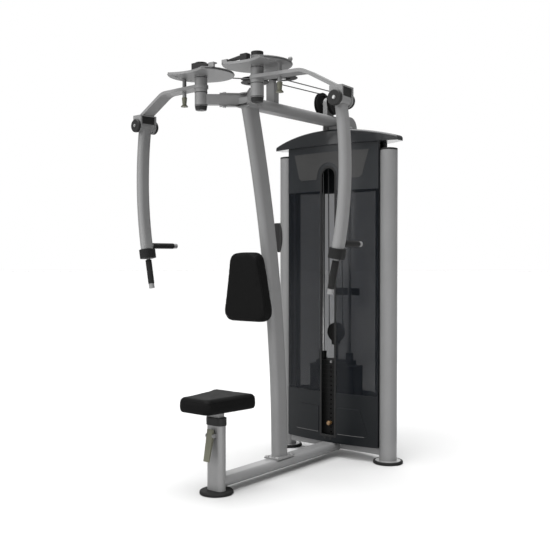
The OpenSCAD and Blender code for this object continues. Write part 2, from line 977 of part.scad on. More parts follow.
module right_tower_pulley() {
    color("#181818")
        tower_pulley();
}

module left_tower_pulley() {
    color("#181818")
        other_side()
            tower_pulley();
}

// Cable

// Points of the fixed run on the right, from the cam's rim to the tower pulley's rear side
run_start_r = cam_r + cable_r + clear;
run_points = concat(
    [[
        pivot_x + run_start_r * cos(leave_angle),
        pivot_y + run_start_r * sin(leave_angle),
        cam_cable_z
    ]],
    [for (k = [0:12])
        let (turn = leave_angle + (run_angle - leave_angle) * k / 12 + 90)
        [guide_x + guide_r * cos(turn), guide_y + guide_r * sin(turn), guide_z]
    ],
    [for (k = [0:12])
        let (turn = 90 - 90 * k / 12)
        [
            tower_pulley_x,
            tower_pulley_y + tower_pulley_r * cos(turn),
            tower_pulley_z + tower_pulley_r * sin(turn)
        ]
    ]
);

function unit(v) = v / norm(v);

// Direction of a route at its point k
function heading(points, k) =
    let (last = len(points) - 1)
    unit(points[min(k + 1, last)] - points[max(k - 1, 0)]);

// A round cable swept along a list of points, none of its headings along X
module swept_cable(points, r) {
    sides = 10;
    rings = len(points);
    ring_points = [
        for (k = [0:rings - 1])
            let (
                ahead = heading(points, k),
                across = unit(cross(ahead, [1, 0, 0])),
                third = cross(ahead, across)
            )
            for (s = [0:sides - 1])
                points[k] + r * (across * cos(360 * s / sides) + third * sin(360 * s / sides))
    ];
    walls = [
        for (k = [0:rings - 2], s = [0:sides - 1])
            let (
                a = k * sides + s,
                b = k * sides + (s + 1) % sides
            )
            each [[a, b, b + sides], [a, b + sides, a + sides]]
    ];
    near_end = [for (s = [0:sides - 1]) sides - 1 - s];
    far_end = [for (s = [0:sides - 1]) (rings - 1) * sides + s];
    polyhedron(ring_points, concat(walls, [near_end, far_end]));
}

module cable_runs() {
    color("#303030")
        both_sides()
            swept_cable(run_points, cable_r);
}

// The runs down the tower, from the tower pulleys to the floating pulley
module cable_drops() {
    fall = drop_end - drop_top;
    length = norm(fall);
    color("#303030")
        both_sides()
            translate(drop_top)
                rotate([0, acos(fall.z / length), atan2(fall.y, fall.x)])
                    cylinder(r = cable_r, h = length - clear);
}

// Shroud

// Plan of a bowed panel with its outer face on the front bow
module front_bow(thick, inset = 0) {
    intersection() {
        difference() {
            translate([0, tower_y - front_bulge + front_r])
                circle(r = front_r - inset, $fn = 360);
            translate([0, tower_y - front_bulge + front_r])
                circle(r = front_r - inset - thick, $fn = 360);
        }
        translate([-panel_half, tower_y - 2 * front_bulge])
            square([2 * panel_half, 2 * front_bulge]);
    }
}

// The same for the rear bow
module rear_bow(thick, inset = 0) {
    intersection() {
        difference() {
            translate([0, tower_y + rear_bulge - rear_r])
                circle(r = rear_r - inset, $fn = 360);
            translate([0, tower_y + rear_bulge - rear_r])
                circle(r = rear_r - inset - thick, $fn = 360);
        }
        translate([-panel_half, tower_y])
            square([2 * panel_half, 2 * rear_bulge]);
    }
}

// The slot through the front panels, with its arched upper end
module slot_cut() {
    depth = 2 * front_bulge;
    translate([0, tower_y - depth, 0])
        run_y()
            linear_extrude(depth - front_bulge / 2) {
                translate([-slot_half, slot_z])
                    square([2 * slot_half, slot_top - slot_half - slot_z]);
                translate([0, slot_top - slot_half])
                    circle(r = slot_half);
            }
}

module front_fascias() {
    color("#303234")
        difference() {
            union() {
                translate([0, 0, shroud_z])
                    linear_extrude(lower_fascia_top - shroud_z)
                        front_bow(fascia_t);
                translate([0, 0, upper_fascia_z])
                    linear_extrude(cover_z - upper_fascia_z)
                        front_bow(fascia_t);
            }
            slot_cut();
        }
}

module rear_fascias() {
    color("#303234") {
        translate([0, 0, shroud_z])
            linear_extrude(lower_fascia_top - shroud_z)
                rear_bow(fascia_t);
        translate([0, 0, upper_fascia_z])
            linear_extrude(cover_z - upper_fascia_z)
                rear_bow(fascia_t);
    }
}

module windows() {
    recess = (fascia_t - window_t) / 2;
    color("#3a3c48", 0.6) {
        difference() {
            translate([0, 0, lower_fascia_top])
                linear_extrude(upper_fascia_z - lower_fascia_top)
                    front_bow(window_t, recess);
            slot_cut();
        }
        translate([0, 0, lower_fascia_top])
            linear_extrude(upper_fascia_z - lower_fascia_top)
                rear_bow(window_t, recess);
    }
}

// Upright rails that hold the panels' edges against the columns
module side_rails() {
    depth = front_edge - rail_gap;
    color("#202020")
        difference() {
            both_sides()
                for (y = [-front_edge, front_edge - depth])
                    translate([panel_half - rail_w, tower_y + y, shroud_z])
                        cube([rail_w, depth, cover_z - shroud_z]);
            column_bars(cover_z + 1);
            translate([-column_x, tower_y - crossbeam_size / 2, crossbeam_z])
                cube([column_spacing, crossbeam_size, crossbeam_size]);
            translate([0, 0, shroud_z - 1])
                linear_extrude(cover_z)
                    front_bow(2 * fascia_t, fascia_t / 2 - 1.5 * fascia_t);
            translate([0, 0, shroud_z - 1])
                linear_extrude(cover_z)
                    rear_bow(2 * fascia_t, fascia_t / 2 - 1.5 * fascia_t);
        }
}

// Plan of the top cover, drawn in by an inset
module cover_plan(inset) {
    front_sag = cover_front - cover_end_half;
    rear_sag = cover_rear - cover_end_half;
    bow_front = (cover_half ^ 2 + front_sag ^ 2) / (2 * front_sag);
    bow_rear = (cover_half ^ 2 + rear_sag ^ 2) / (2 * rear_sag);
    intersection() {
        translate([0, tower_y - cover_front + bow_front])
            circle(r = bow_front - inset, $fn = 360);
        translate([0, tower_y + cover_rear - bow_rear])
            circle(r = bow_rear - inset, $fn = 360);
        translate([inset - cover_half, tower_y - cover_front])
            square([2 * (cover_half - inset), cover_front + cover_rear]);
    }
}

// Space under the cover's crown, drawn down by an inset
module cover_crown(inset) {
    rise = cover_top - cover_end_top;
    crown_r = (cover_half ^ 2 + rise ^ 2) / (2 * rise);
    translate([0, tower_y - 2 * cover_front, cover_top - crown_r])
        rotate([-90, 0, 0])
            cylinder(r = crown_r - inset, h = 2 * (cover_front + cover_rear), $fn = 360);
}

module top_cover() {
    gap = 6;
    color("#2c2e30")
        difference() {
            intersection() {
                translate([0, 0, cover_z])
                    linear_extrude(cover_top - cover_z)
                        cover_plan(0);
                cover_crown(0);
            }
            difference() {
                intersection() {
                    translate([0, 0, cover_z + cover_t])
                        linear_extrude(cover_top - cover_z)
                            cover_plan(cover_t);
                    cover_crown(cover_t);
                }
            }
            translate([-beam_w / 2 - saddle_t - gap, tower_y - saddle_front - gap, cover_z - 1])
                cube([beam_w + 2 * saddle_t + 2 * gap, saddle_front + saddle_rear + 2 * gap, cover_top]);
        }
}

// Weight stack

module guide_rods() {
    color("#b0b0b0")
        both_sides()
            translate([rod_x, tower_y, crossbeam_top])
                cylinder(d = rod_d, h = header_z - crossbeam_top);
}

module stack_bumpers() {
    color("#202020")
        both_sides()
            translate([rod_x, tower_y, crossbeam_top])
                difference() {
                    cylinder(d = 2 * rod_d + 8, h = stack_z - clear - crossbeam_top);
                    translate([0, 0, -1])
                        cylinder(d = rod_d, h = stack_z);
                }
}

// One plate with its rod holes, its hole for the selector rod and its pin hole
module weight_plate() {
    hole_gap = 1;
    difference() {
        translate([-plate_w / 2, -plate_d / 2, 0])
            cube([plate_w, plate_d, plate_t]);
        for (side = [-1, 1])
            translate([side * rod_x, 0, -1])
                cylinder(d = rod_d + 2 * hole_gap, h = plate_pitch + 2);
        translate([0, 0, -1])
            cylinder(d = selector_rod_d + 2 * hole_gap, h = plate_pitch + 2);
        translate([0, 0, plate_t / 2])
            rotate([90, 0, 0])
                cylinder(d = selector_pin_d + 2 * clear, h = plate_d);
    }
}

module plate_rows(first, last) {
    for (k = [first:last])
        translate([0, tower_y, stack_z + k * plate_pitch])
            weight_plate();
}

module resting_plates() {
    color("#2a2a2a")
        plate_rows(0, resting_count - 1);
}

module lifted_plates() {
    color("#2a2a2a")
        plate_rows(resting_count, plate_count - 1);
}

// Head plate with its bushes, the selector rod under it and the fork that holds the floating pulley
module stack_head() {
    bush_d = rod_d + 22;
    bush_h = 45;
    fork_t = 6;
    fork_w = 40;
    fork_gap = pulley_t / 2 + clear;
    fork_z = float_z - float_r - flange_h - 10;
    stud_d = 24;
    color("#2a2a2a")
        translate([0, tower_y, 0]) {
            difference() {
                union() {
                    translate([-head_w / 2, -plate_d / 2, plates_top])
                        cube([head_w, plate_d, head_t]);
                    for (side = [-1, 1])
                        translate([side * rod_x, 0, head_top])
                            cylinder(d = bush_d, h = bush_h);
                }
                for (side = [-1, 1])
                    translate([side * rod_x, 0, plates_top - 1])
                        cylinder(d = rod_d + 2 * running, h = head_t + bush_h + 2);
            }
            difference() {
                translate([0, 0, stack_z + 5])
                    cylinder(d = selector_rod_d, h = plates_top - stack_z - 5);
                for (k = [0:plate_count - 1])
                    translate([0, plate_d / 2, stack_z + k * plate_pitch + plate_t / 2])
                        rotate([90, 0, 0])
                            cylinder(d = selector_pin_d + 2 * clear, h = plate_d);
            }
            translate([0, 0, head_top])
                cylinder(d = stud_d, h = fork_z - fork_t - head_top);
            translate([-fork_w / 2, -fork_gap - fork_t, fork_z - fork_t])
                cube([fork_w, 2 * (fork_gap + fork_t), fork_t]);
            for (side = [-1, 1])
                translate([0, side * (fork_gap + fork_t / 2) - fork_t / 2, 0])
                    run_y()
                        linear_extrude(fork_t) {
                            translate([0, float_z])
                                circle(d = fork_w);
                            translate([-fork_w / 2, fork_z - fork_t])
                                square([fork_w, float_z - fork_z + fork_t]);
                        }
            translate([0, fork_gap + fork_t + 4, float_z])
                rotate([90, 0, 0])
                    cylinder(d = pulley_pin_d, h = 2 * (fork_gap + fork_t + 4));
        }
}

module floating_pulley() {
    color("#181818")
        translate([0, tower_y, float_z])
            rotate([90, 0, 0])
                pulley(float_r, flange_h);
}

// The half turn of cable under the floating pulley
module float_cable() {
    color("#303030")
        translate([0, tower_y, float_z])
            revolve_y()
                rotate([0, 0, 180])
                    rotate_extrude(angle = 180)
                        translate([float_r, 0])
                            circle(r = cable_r);
}

module selector_pin() {
    knob_r = 13;
    face_y = tower_y - plate_d / 2 - clear;
    color("#6b5030")
        translate([0, face_y, pin_z])
            rotate([90, 0, 0]) {
                translate([0, 0, -plate_d / 2 - selector_rod_d / 2])
                    cylinder(d = selector_pin_d, h = plate_d / 2 + selector_rod_d / 2 + 1);
                cylinder(r1 = knob_r - 4, r2 = knob_r, h = selector_knob_l - 6);
                translate([0, 0, selector_knob_l - 6])
                    cylinder(r1 = knob_r, r2 = knob_r - 3, h = 6);
            }
}

// Seat

// Corner circles of the seat, drawn in by an inset
module seat_plan(inset) {
    r = seat_corner - inset;
    front = seat_front - seat_corner;
    back = seat_back - seat_corner;
    hull()
        for (side = [-1, 1]) {
            translate([side * (seat_front_half - seat_corner), seat_y - front])
                circle(r = r, $fn = 32);
            translate([side * (seat_back_half - seat_corner), seat_y + back])
                circle(r = r, $fn = 32);
        }
}

module seat_pad() {
    edge = 10;
    color("#1c1c1c") {
        translate([0, 0, seat_z])
            linear_extrude(edge)
                seat_plan(edge / 2);
        translate([0, 0, seat_z + edge])
            linear_extrude(seat_t - 2 * edge)
                seat_plan(0);
        translate([0, 0, seat_top - edge])
            linear_extrude(edge)
                seat_plan(edge / 2);
    }
}

// Inner post with the plate under the pad
module seat_carrier() {
    wall = 4;
    color("silver") {
        difference() {
            translate([-inner_w / 2, seat_y - inner_d / 2, seat_plate_z - inner_l])
                cube([inner_w, inner_d, inner_l]);
            translate([wall - inner_w / 2, seat_y - inner_d / 2 + wall, seat_plate_z - inner_l - 1])
                cube([inner_w - 2 * wall, inner_d - 2 * wall, inner_l]);
        }
        translate([-inner_w, seat_y - inner_w, seat_plate_z])
            cube([2 * inner_w, 2 * inner_w, seat_plate_t]);
    }
}

// Tapered flat lever that hangs on its boss, its lower end away from the post
module seat_lever() {
    tip_w = lever_w * 0.72;
    color("#5f5f50")
        translate([0, lever_y, lever_z])
            difference() {
                union() {
                    rotate([90 - lever_lean, 0, 0])
                        translate([0, 0, -lever_t / 2])
                            linear_extrude(lever_t) {
                                polygon([
                                    [-tip_w / 2, tip_w / 2 - lever_down],
                                    [tip_w / 2, tip_w / 2 - lever_down],
                                    [lever_w / 2, lever_up],
                                    [-lever_w / 2, lever_up]
                                ]);
                                translate([0, tip_w / 2 - lever_down])
                                    circle(d = tip_w);
                            }
                    rotate([0, 90, 0])
                        cylinder(r = lever_boss_r, h = lever_w, center = true);
                }
                rotate([0, 90, 0])
                    cylinder(r = lever_pin_r + running, h = 2 * lever_w, center = true);
            }
}

// Back pad

module pad_plan() {
    hull()
        for (side = [-1, 1]) {
            translate([side * (pad_bottom_half - pad_corner), pad_corner])
                circle(r = pad_corner, $fn = 32);
            translate([side * (pad_top_half - pad_corner), pad_h - pad_corner])
                circle(r = pad_corner, $fn = 32);
        }
}

// Frame of the back pad: X across, Y up its face, Z out of its face
module on_pad() {
    translate([0, tower_y - pad_reach, pad_z])
        rotate([90 + pad_lean, 0, 0])
            children();
}

module back_pad() {
    color("#1c1c1c")
        on_pad()
            translate([0, 0, -pad_t])
                linear_extrude(pad_t)
                    pad_plan();
}

// Steel tube from the mast to the plate screwed on the pad's back
module pad_bracket() {
    tube = 50;
    plate_w = 110;
    plate_h = 180;
    plate_t = 6;
    color("silver")
        difference() {
            on_pad() {
                translate([-plate_w / 2, (pad_h - plate_h) / 2, -pad_t - plate_t])
                    cube([plate_w, plate_h, plate_t]);
                translate([-tube / 2, (pad_h - tube) / 2, -2 * pad_reach / 5])
                    cube([tube, tube, 2 * pad_reach / 5 - pad_t - plate_t]);
            }
            mast_arc(mast_w, mast_d);
            translate([-tube, mast_y - mast_d, 0])
                cube([2 * tube, 2 * mast_d, column_top]);
        }
}

// Moulded hook on the outer side of the left column
module accessory_hook() {
    hook_w = 46;
    round_r = hook_out / 2;
    color("#202020")
        other_side()
            difference() {
                translate([column_x, tower_y - hook_w / 2, hook_z])
                    run_y()
                        mirror([1, 0])
                            linear_extrude(hook_w) {
                                translate([0, hook_h * 0.22])
                                    square([column_r + hook_out, hook_h * 0.78 - round_r]);
                                translate([column_r + hook_out - round_r, hook_h - round_r])
                                    circle(r = round_r);
                                translate([0, hook_h - round_r])
                                    square([column_r + hook_out - round_r, round_r]);
                                polygon([
                                    [0, hook_h * 0.22],
                                    [column_r, 0],
                                    [column_r + 12, 0],
                                    [column_r + hook_out, hook_h * 0.22]
                                ]);
                            }
                column_bars();
            }
}

// Cams

module cam_plate() {
    difference() {
        union() {
            translate([0, 0, cam_low])
                linear_extrude(cam_t)
                    difference() {
                        circle(r = cam_r, $fn = 180);
                        translate([0, -bite_depth - bite_r])
                            circle(r = bite_r, $fn = 180);
                    }
            translate([0, 0, housing_z])
                cylinder(r = spindle_r, h = hub_top - housing_z);
            translate([0, 0, sleeve_top + clear])
                cylinder(d = hub_d, h = hub_top - sleeve_top - clear);
            cam_tab();
            cam_knob();
        }
        translate([0, 0, cam_cable_z])
            rotate_extrude()
                translate([cam_r, 0])
                    circle(r = cable_r + clear / 2);
        for (k = [-4:2])
            rotate(arm_angle + k * index_step)
                translate([index_r, 0, cam_low - 1])
                    cylinder(r = index_pin_r, h = cam_t + 2);
    }
}

// Raised tab on the inner front corner, where the stop bar ends
module cam_tab() {
    translate([-cam_r * 0.84, -cam_r * 0.44, cam_top - 1]) {
        translate([-16, -6, 0])
            cube([32, 12, 17]);
        translate([-16, -6, 17])
            cube([32, 26, 6]);
    }
}

// Ball-headed anchor of the cable, near the outer rim
module cam_knob() {
    stem_r = 7;
    ball_r = 11;
    rotate(38)
        translate([cam_r - stem_r - 2, 0, cam_top - 1]) {
            cylinder(r = stem_r, h = 2 * stem_r);
            translate([0, 0, 2 * stem_r + ball_r / 2])
                sphere(r = ball_r);
        }
}

module right_cam() {
    color("silver")
        on_pivot()
            cam_plate();
}

module left_cam() {
    color("silver")
        other_side()
            on_pivot()
                cam_plate();
}

// Hub cap, rubber stop block in front of the hub and the tapered bar from it to the tab
module cam_trim() {
    block_w = 40;
    block_d = 30;
    block_h = 35;
    block_x = -44;
    block_y = -bite_depth + 14;
    bar_end = -cam_r * 0.84 + 16;
    translate([0, 0, hub_top])
        domed_cap(hub_d / 2 - 1, hub_cap_h);
    translate([block_x, block_y, cam_top])
        cube([block_w, block_d, block_h]);
    translate([0, block_y, cam_top + block_h])
        rotate([-90, 0, 0])
            linear_extrude(14)
                polygon([[block_x + 1, 6], [block_x + 1, 24], [bar_end, 26], [bar_end, 16]]);
}

module right_cam_trim() {
    color("#1c1c1c")
        on_pivot()
            cam_trim();
}

module left_cam_trim() {
    color("#1c1c1c")
        other_side()
            on_pivot()
                cam_trim();
}

// The cable that lies in the cam's rim
module rim_cable() {
    reach = 130;
    translate([0, 0, cam_cable_z])
        rotate(90 - reach)
            rotate_extrude(angle = 2 * reach, $fn = 180)
                translate([cam_r, 0])
                    circle(r = cable_r);
}

module right_rim_cable() {
    color("#303030")
        on_pivot()
            rim_cable();
}

module left_rim_cable() {
    color("#303030")
        other_side()
            on_pivot()
                rim_cable();
}

// Arms

// The arm's flat bar: level from the pivot, bent and sloping down into the clevis plate
module arm_bar() {
    slope_l = arm_foot + arm_fall / sin(arm_slope);
    translate([0, 0, arm_z - arm_t / 2])
        linear_extrude(arm_t) {
            circle(d = arm_w);
            translate([0, -arm_w / 2])
                square([arm_bend_s, arm_w]);
        }
    translate([arm_bend_s, 0, arm_z - arm_bend_r])
        revolve_y()
            rotate([0, 0, 90 - arm_slope])
                rotate_extrude(angle = arm_slope, $fn = 180)
                    translate([arm_bend_r, 0])
                        square([arm_t, arm_w], center = true);
    translate([arm_bend_s + arm_bend_r * sin(arm_slope), 0, arm_z - arm_bend_drop])
        rotate([0, arm_slope, 0])
            run_x()
                linear_extrude(slope_l)
                    square([arm_w, arm_t], center = true);
}

// Plate and two cheeks that hold the elbow pin
module clevis() {
    cheek_r = barrel_r + 4;
    translate([elbow_s - cheek_r, -clevis_half, elbow_z + clevis_h])
        cube([2 * cheek_r, 2 * clevis_half, clevis_t]);
    difference() {
        for (side = [0, 1])
            translate([elbow_s, side * (2 * clevis_half - cheek_t) - clevis_half, elbow_z])
                run_y()
                    linear_extrude(cheek_t) {
                        circle(r = cheek_r);
                        translate([-cheek_r, 0])
                            square([2 * cheek_r, clevis_h + 1]);
                    }
        translate([elbow_s, 2 * clevis_half, elbow_z])
            rotate([90, 0, 0])
                cylinder(d = elbow_pin_d, h = 4 * clevis_half);
    }
}

module arm() {
    on_arm() {
        difference() {
            union() {
                translate([0, 0, seam_z])
                    cylinder(r = housing_r, h = sleeve_h);
                difference() {
                    arm_bar();
                    translate([0, -arm_w, 0])
                        cube([2 * elbow_s, 2 * arm_w, clevis_top - clevis_t / 2]);
                }
                clevis();
                translate([index_r, 0, pop_barrel_z])
                    cylinder(d = pop_barrel_d, h = cam_low - 2 * clear - pop_barrel_z);
            }
            translate([0, 0, seam_z - 1])
                cylinder(r = spindle_r + running, h = sleeve_h + 2);
            translate([index_r, 0, pop_barrel_z - 1])
                cylinder(d = pop_pin_d + 2 * running, h = cam_low);
        }
    }
}

module right_arm() {
    color("silver")
        arm();
}

module left_arm() {
    color("silver")
        other_side()
            arm();
}

// Rubber block over the barrel, the elbow pin and the round caps outside the cheeks
module elbow_trim() {
    block_w = 2 * barrel_r - 2;
    block_l = barrel_l - 2;
    on_arm()
        translate([elbow_s, 0, elbow_z]) {
            difference() {
                translate([-block_w / 2, -block_l / 2, 0])
                    cube([block_w, block_l, clevis_h]);
                rotate([90, 0, 0])
                    cylinder(r = barrel_r + 2 * clear, h = 2 * barrel_l, center = true);
                translate([-barrel_r, -barrel_l, -1])
                    cube([2 * barrel_r, 2 * barrel_l, barrel_r / 2]);
            }
            rotate([90, 0, 0]) {
                cylinder(d = elbow_pin_d, h = 2 * clevis_half + 2 * elbow_cap_t + 4, center = true);
                difference() {
                    for (side = [0, 1])
                        mirror([0, 0, side])
                            translate([0, 0, clevis_half]) {
                                cylinder(d = elbow_cap_d, h = elbow_cap_t - 4);
                                translate([0, 0, elbow_cap_t - 4])
                                    cylinder(d1 = elbow_cap_d, d2 = elbow_cap_d - 8, h = 4);
                            }
                    cylinder(d = elbow_pin_d, h = 4 * clevis_half, center = true);
                }
            }
        }
}

module right_elbow_trim() {
    color("#1c1c1c")
        elbow_trim();
}

module left_elbow_trim() {
    color("#1c1c1c")
        other_side()
            elbow_trim();
}

// Spring pin under the arm: its knob slides up over the guide barrel as the pin enters a hole
module pop_pin() {
    knob_r = pop_barrel_d / 2 + 3.5;
    flare_r = 18;
    flare_h = 12;
    knob_top = pop_barrel_z - clear;
    on_arm()
        translate([index_r, 0, 0]) {
            translate([0, 0, knob_top - pop_knob_h / 2])
                cylinder(d = pop_pin_d, h = cam_low - 2 * clear - knob_top + pop_knob_h / 2);
            difference() {
                union() {
                    translate([0, 0, knob_top - pop_knob_h + flare_h])
                        cylinder(r1 = pop_barrel_d / 2, r2 = knob_r, h = pop_knob_h - flare_h);
                    translate([0, 0, knob_top - pop_knob_h + 4])
                        cylinder(r1 = flare_r, r2 = pop_barrel_d / 2, h = flare_h - 4);
                    translate([0, 0, knob_top - pop_knob_h])
                        cylinder(r = flare_r, h = 4);
                }
                translate([0, 0, knob_top - pop_travel - 1])
                    difference() {
                        cylinder(d = pop_barrel_d + 2 * clear, h = pop_travel + 2);
                        cylinder(d = pop_pin_d - 1, h = pop_travel + 2);
                    }
            }
        }
}

module right_pop_pin() {
    color("#5f5f50")
        pop_pin();
}

module left_pop_pin() {
    color("#5f5f50")
        other_side()
            pop_pin();
}

// Forearms

// The curved flat-oval bar between two angles on the forearm's circle
module forearm_bar(w, h, low, high) {
    translate([forearm_s, 0, forearm_mid_z])
        revolve_y()
            rotate([0, 0, low])
                rotate_extrude(angle = high - low, $fn = 360)
                    translate([forearm_radius, 0])
                        rotate(90)
                            flat_oval(w, h);
}

// Frame at the forearm's lower end, its Z up along the bar
module on_forearm_end() {
    translate([
        forearm_s + forearm_radius * cos(forearm_low),
        0,
        forearm_mid_z + forearm_radius * sin(forearm_low)
    ])
        rotate([0, -forearm_low, 0])
            children();
}

module forearm() {
    grip_top = -collar_h - 10;
    on_arm() {
        difference() {
            union() {
                forearm_bar(forearm_w, forearm_d, forearm_low, forearm_high);
                translate([elbow_s, 0, elbow_z])
                    rotate([90, 0, 0])
                        cylinder(r = barrel_r, h = barrel_l, center = true);
            }
            difference() {
                forearm_bar(
                    forearm_w - 2 * tube_wall,
                    forearm_d - 2 * tube_wall,
                    forearm_low + 0.2,
                    forearm_high
                );
                translate([elbow_s, 0, elbow_z])
                    rotate([90, 0, 0])
                        cylinder(r = barrel_r, h = 2 * barrel_l, center = true);
            }
            translate([elbow_s - forearm_w, -forearm_w, elbow_z + barrel_r / 2])
                difference() {
                    cube([2 * forearm_w, 2 * forearm_w, forearm_w]);
                    translate([forearm_w, 0, -barrel_r / 2])
                        rotate([-90, 0, 0])
                            cylinder(r = barrel_r, h = 2 * forearm_w);
                }
            translate([elbow_s, 0, elbow_z])
                rotate([90, 0, 0])
                    cylinder(d = elbow_pin_d + 2 * running, h = 2 * barrel_l, center = true);
        }
        on_forearm_end() {
            translate([0, 0, grip_top - grip_l - 1])
                cylinder(d = core_d, h = grip_l - grip_top + 1 + tube_wall);
            translate([0, 0, grip_top - grip_l - grip_cap_l])
                cylinder(d = grip_d - 4, h = grip_cap_l);
            translate([0, forearm_w / 2 - tube_wall / 2, rear_grip_up])
                rotate([-90, 0, 0])
                    cylinder(d = core_d, h = rear_grip_l + 6);
            translate([0, forearm_w / 2 + rear_grip_l + 4, rear_grip_up])
                rotate([-90, 0, 0])
                    cylinder(d = rear_grip_d - 4, h = grip_cap_l);
        }
    }
}

module right_forearm() {
    color("silver")
        forearm();
}

module left_forearm() {
    color("silver")
        other_side()
            forearm();
}

// Collar on the bar's lower end and the two grips on their cores
module grips() {
    collar_w = forearm_w + 20;
    collar_d = forearm_d + 20;
    collar_up = 6;
    grip_top = -collar_h - 10;
    on_arm()
        on_forearm_end() {
            difference() {
                translate([0, 0, -collar_h])
                    linear_extrude(collar_h + collar_up)
                        rotate(90)
                            flat_oval(collar_w, collar_d);
                translate([0, 0, -1])
                    linear_extrude(collar_h)
                        rotate(90)
                            flat_oval(forearm_w + 2 * running, forearm_d + 2 * running);
                translate([0, 0, -2 * collar_h])
                    cylinder(d = core_d, h = 2 * collar_h);
            }
            translate([0, 0, grip_top - grip_l])
                difference() {
                    cylinder(d = grip_d, h = grip_l);
                    translate([0, 0, -1])
                        cylinder(d = core_d, h = grip_l + 2);
                }
            translate([0, forearm_w / 2 + 4, rear_grip_up])
                rotate([-90, 0, 0])
                    difference() {
                        cylinder(d = rear_grip_d, h = rear_grip_l);
                        translate([0, 0, -1])
                            cylinder(d = core_d, h = rear_grip_l + 2);
                    }
        }
}

module right_grips() {
    color("#1c1c1c")
        grips();
}

module left_grips() {
    color("#1c1c1c")
        other_side()
            grips();
}

left_column();
right_column();
tube_caps();
feet();
rear_crossbeam();
tower_header();
base_beam();
seat_post();
post_collar();
mast();
top_beam();
saddle();
yoke_bars();
yoke_gussets();
pivot_housings();
pulley_brackets();
pulley_pins();
frame_bolts();
front_fascias();
rear_fascias();
windows();
side_rails();
top_cover();
guide_rods();
stack_bumpers();
resting_plates();
back_pad();
pad_bracket();
accessory_hook();
cable_runs();
cable_drops();
seat_pad();
seat_carrier();
seat_lever();
right_cam();
left_cam();
right_cam_trim();
left_cam_trim();
right_rim_cable();
left_rim_cable();
right_arm();
left_arm();
right_elbow_trim();
left_elbow_trim();
right_pop_pin();
left_pop_pin();
right_forearm();
left_forearm();
right_grips();
left_grips();
lifted_plates();
stack_head();
floating_pulley();
float_cable();
selector_pin();
right_guide_pulley();
left_guide_pulley();
right_tower_pulley();
left_tower_pulley();
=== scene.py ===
import json
import math

import bmesh
import bpy
from mathutils import Matrix, Vector

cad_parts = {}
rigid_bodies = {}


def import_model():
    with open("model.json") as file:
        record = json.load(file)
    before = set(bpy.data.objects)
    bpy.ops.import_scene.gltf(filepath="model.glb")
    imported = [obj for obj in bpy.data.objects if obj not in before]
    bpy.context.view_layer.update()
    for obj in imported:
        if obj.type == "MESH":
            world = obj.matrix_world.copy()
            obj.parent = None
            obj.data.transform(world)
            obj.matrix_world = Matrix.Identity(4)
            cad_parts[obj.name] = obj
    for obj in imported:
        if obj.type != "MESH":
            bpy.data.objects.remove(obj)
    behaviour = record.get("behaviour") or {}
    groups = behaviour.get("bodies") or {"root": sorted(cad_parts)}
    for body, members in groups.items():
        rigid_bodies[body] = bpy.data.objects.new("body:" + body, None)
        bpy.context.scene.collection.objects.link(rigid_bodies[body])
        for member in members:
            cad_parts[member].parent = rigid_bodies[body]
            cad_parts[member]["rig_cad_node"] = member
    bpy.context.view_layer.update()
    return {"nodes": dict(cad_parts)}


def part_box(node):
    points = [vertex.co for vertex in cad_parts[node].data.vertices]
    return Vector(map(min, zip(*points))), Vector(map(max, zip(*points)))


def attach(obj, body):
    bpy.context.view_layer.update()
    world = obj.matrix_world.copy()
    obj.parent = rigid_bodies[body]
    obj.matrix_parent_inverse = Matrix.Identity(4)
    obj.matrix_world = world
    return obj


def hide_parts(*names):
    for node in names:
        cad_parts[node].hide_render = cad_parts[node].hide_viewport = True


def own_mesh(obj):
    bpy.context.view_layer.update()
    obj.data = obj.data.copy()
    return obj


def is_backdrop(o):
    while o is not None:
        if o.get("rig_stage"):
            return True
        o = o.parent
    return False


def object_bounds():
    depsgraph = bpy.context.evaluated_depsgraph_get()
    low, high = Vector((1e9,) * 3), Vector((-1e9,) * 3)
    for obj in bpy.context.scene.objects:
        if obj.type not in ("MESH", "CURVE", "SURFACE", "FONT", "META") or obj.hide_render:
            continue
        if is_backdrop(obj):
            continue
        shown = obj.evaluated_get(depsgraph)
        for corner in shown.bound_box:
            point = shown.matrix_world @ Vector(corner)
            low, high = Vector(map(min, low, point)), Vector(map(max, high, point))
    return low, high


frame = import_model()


# Studio
# A pale seamless floor under soft daylight from the front and from above, three softboxes for the
# gloss, a lit backdrop and a white surround. The camera stands in front of the machine, towards
# +X, at chest height.
def ready():
    """Leaves nothing selected, in object mode."""
    if bpy.context.object and bpy.context.object.mode != "OBJECT":
        bpy.ops.object.mode_set(mode="OBJECT")
    bpy.ops.object.select_all(action="DESELECT")


def aimed(light, name, place, aim):
    light.name = name
    light.rotation_mode = "QUATERNION"
    light.rotation_quaternion = (Vector(aim) - Vector(place)).to_track_quat("-Z", "Y")


def softbox(name, place, aim, size, power):
    ready()
    bpy.ops.object.light_add(type="AREA", location=place)
    light = bpy.context.object
    light.data.shape = "RECTANGLE"
    light.data.size, light.data.size_y = size
    light.data.energy = power
    aimed(light, name, place, aim)


scene = bpy.context.scene
scene.view_settings.view_transform = "Standard"
scene.world = bpy.data.worlds.new("white_surround")
scene.world.use_nodes = True
air = scene.world.node_tree
surround = air.nodes["Background"]
surround.inputs["Strength"].default_value = 0.34
backdrop = air.nodes.new("ShaderNodeBackground")
for white in (surround, backdrop):
    white.inputs["Color"].default_value = (1.0, 1.0, 1.0, 1.0)
seen = air.nodes.new("ShaderNodeLightPath")
either = air.nodes.new("ShaderNodeMixShader")
air.links.new(seen.outputs["Is Camera Ray"], either.inputs[0])
air.links.new(surround.outputs[0], either.inputs[1])
air.links.new(backdrop.outputs[0], either.inputs[2])
air.links.new(either.outputs[0], air.nodes["World Output"].inputs[0])

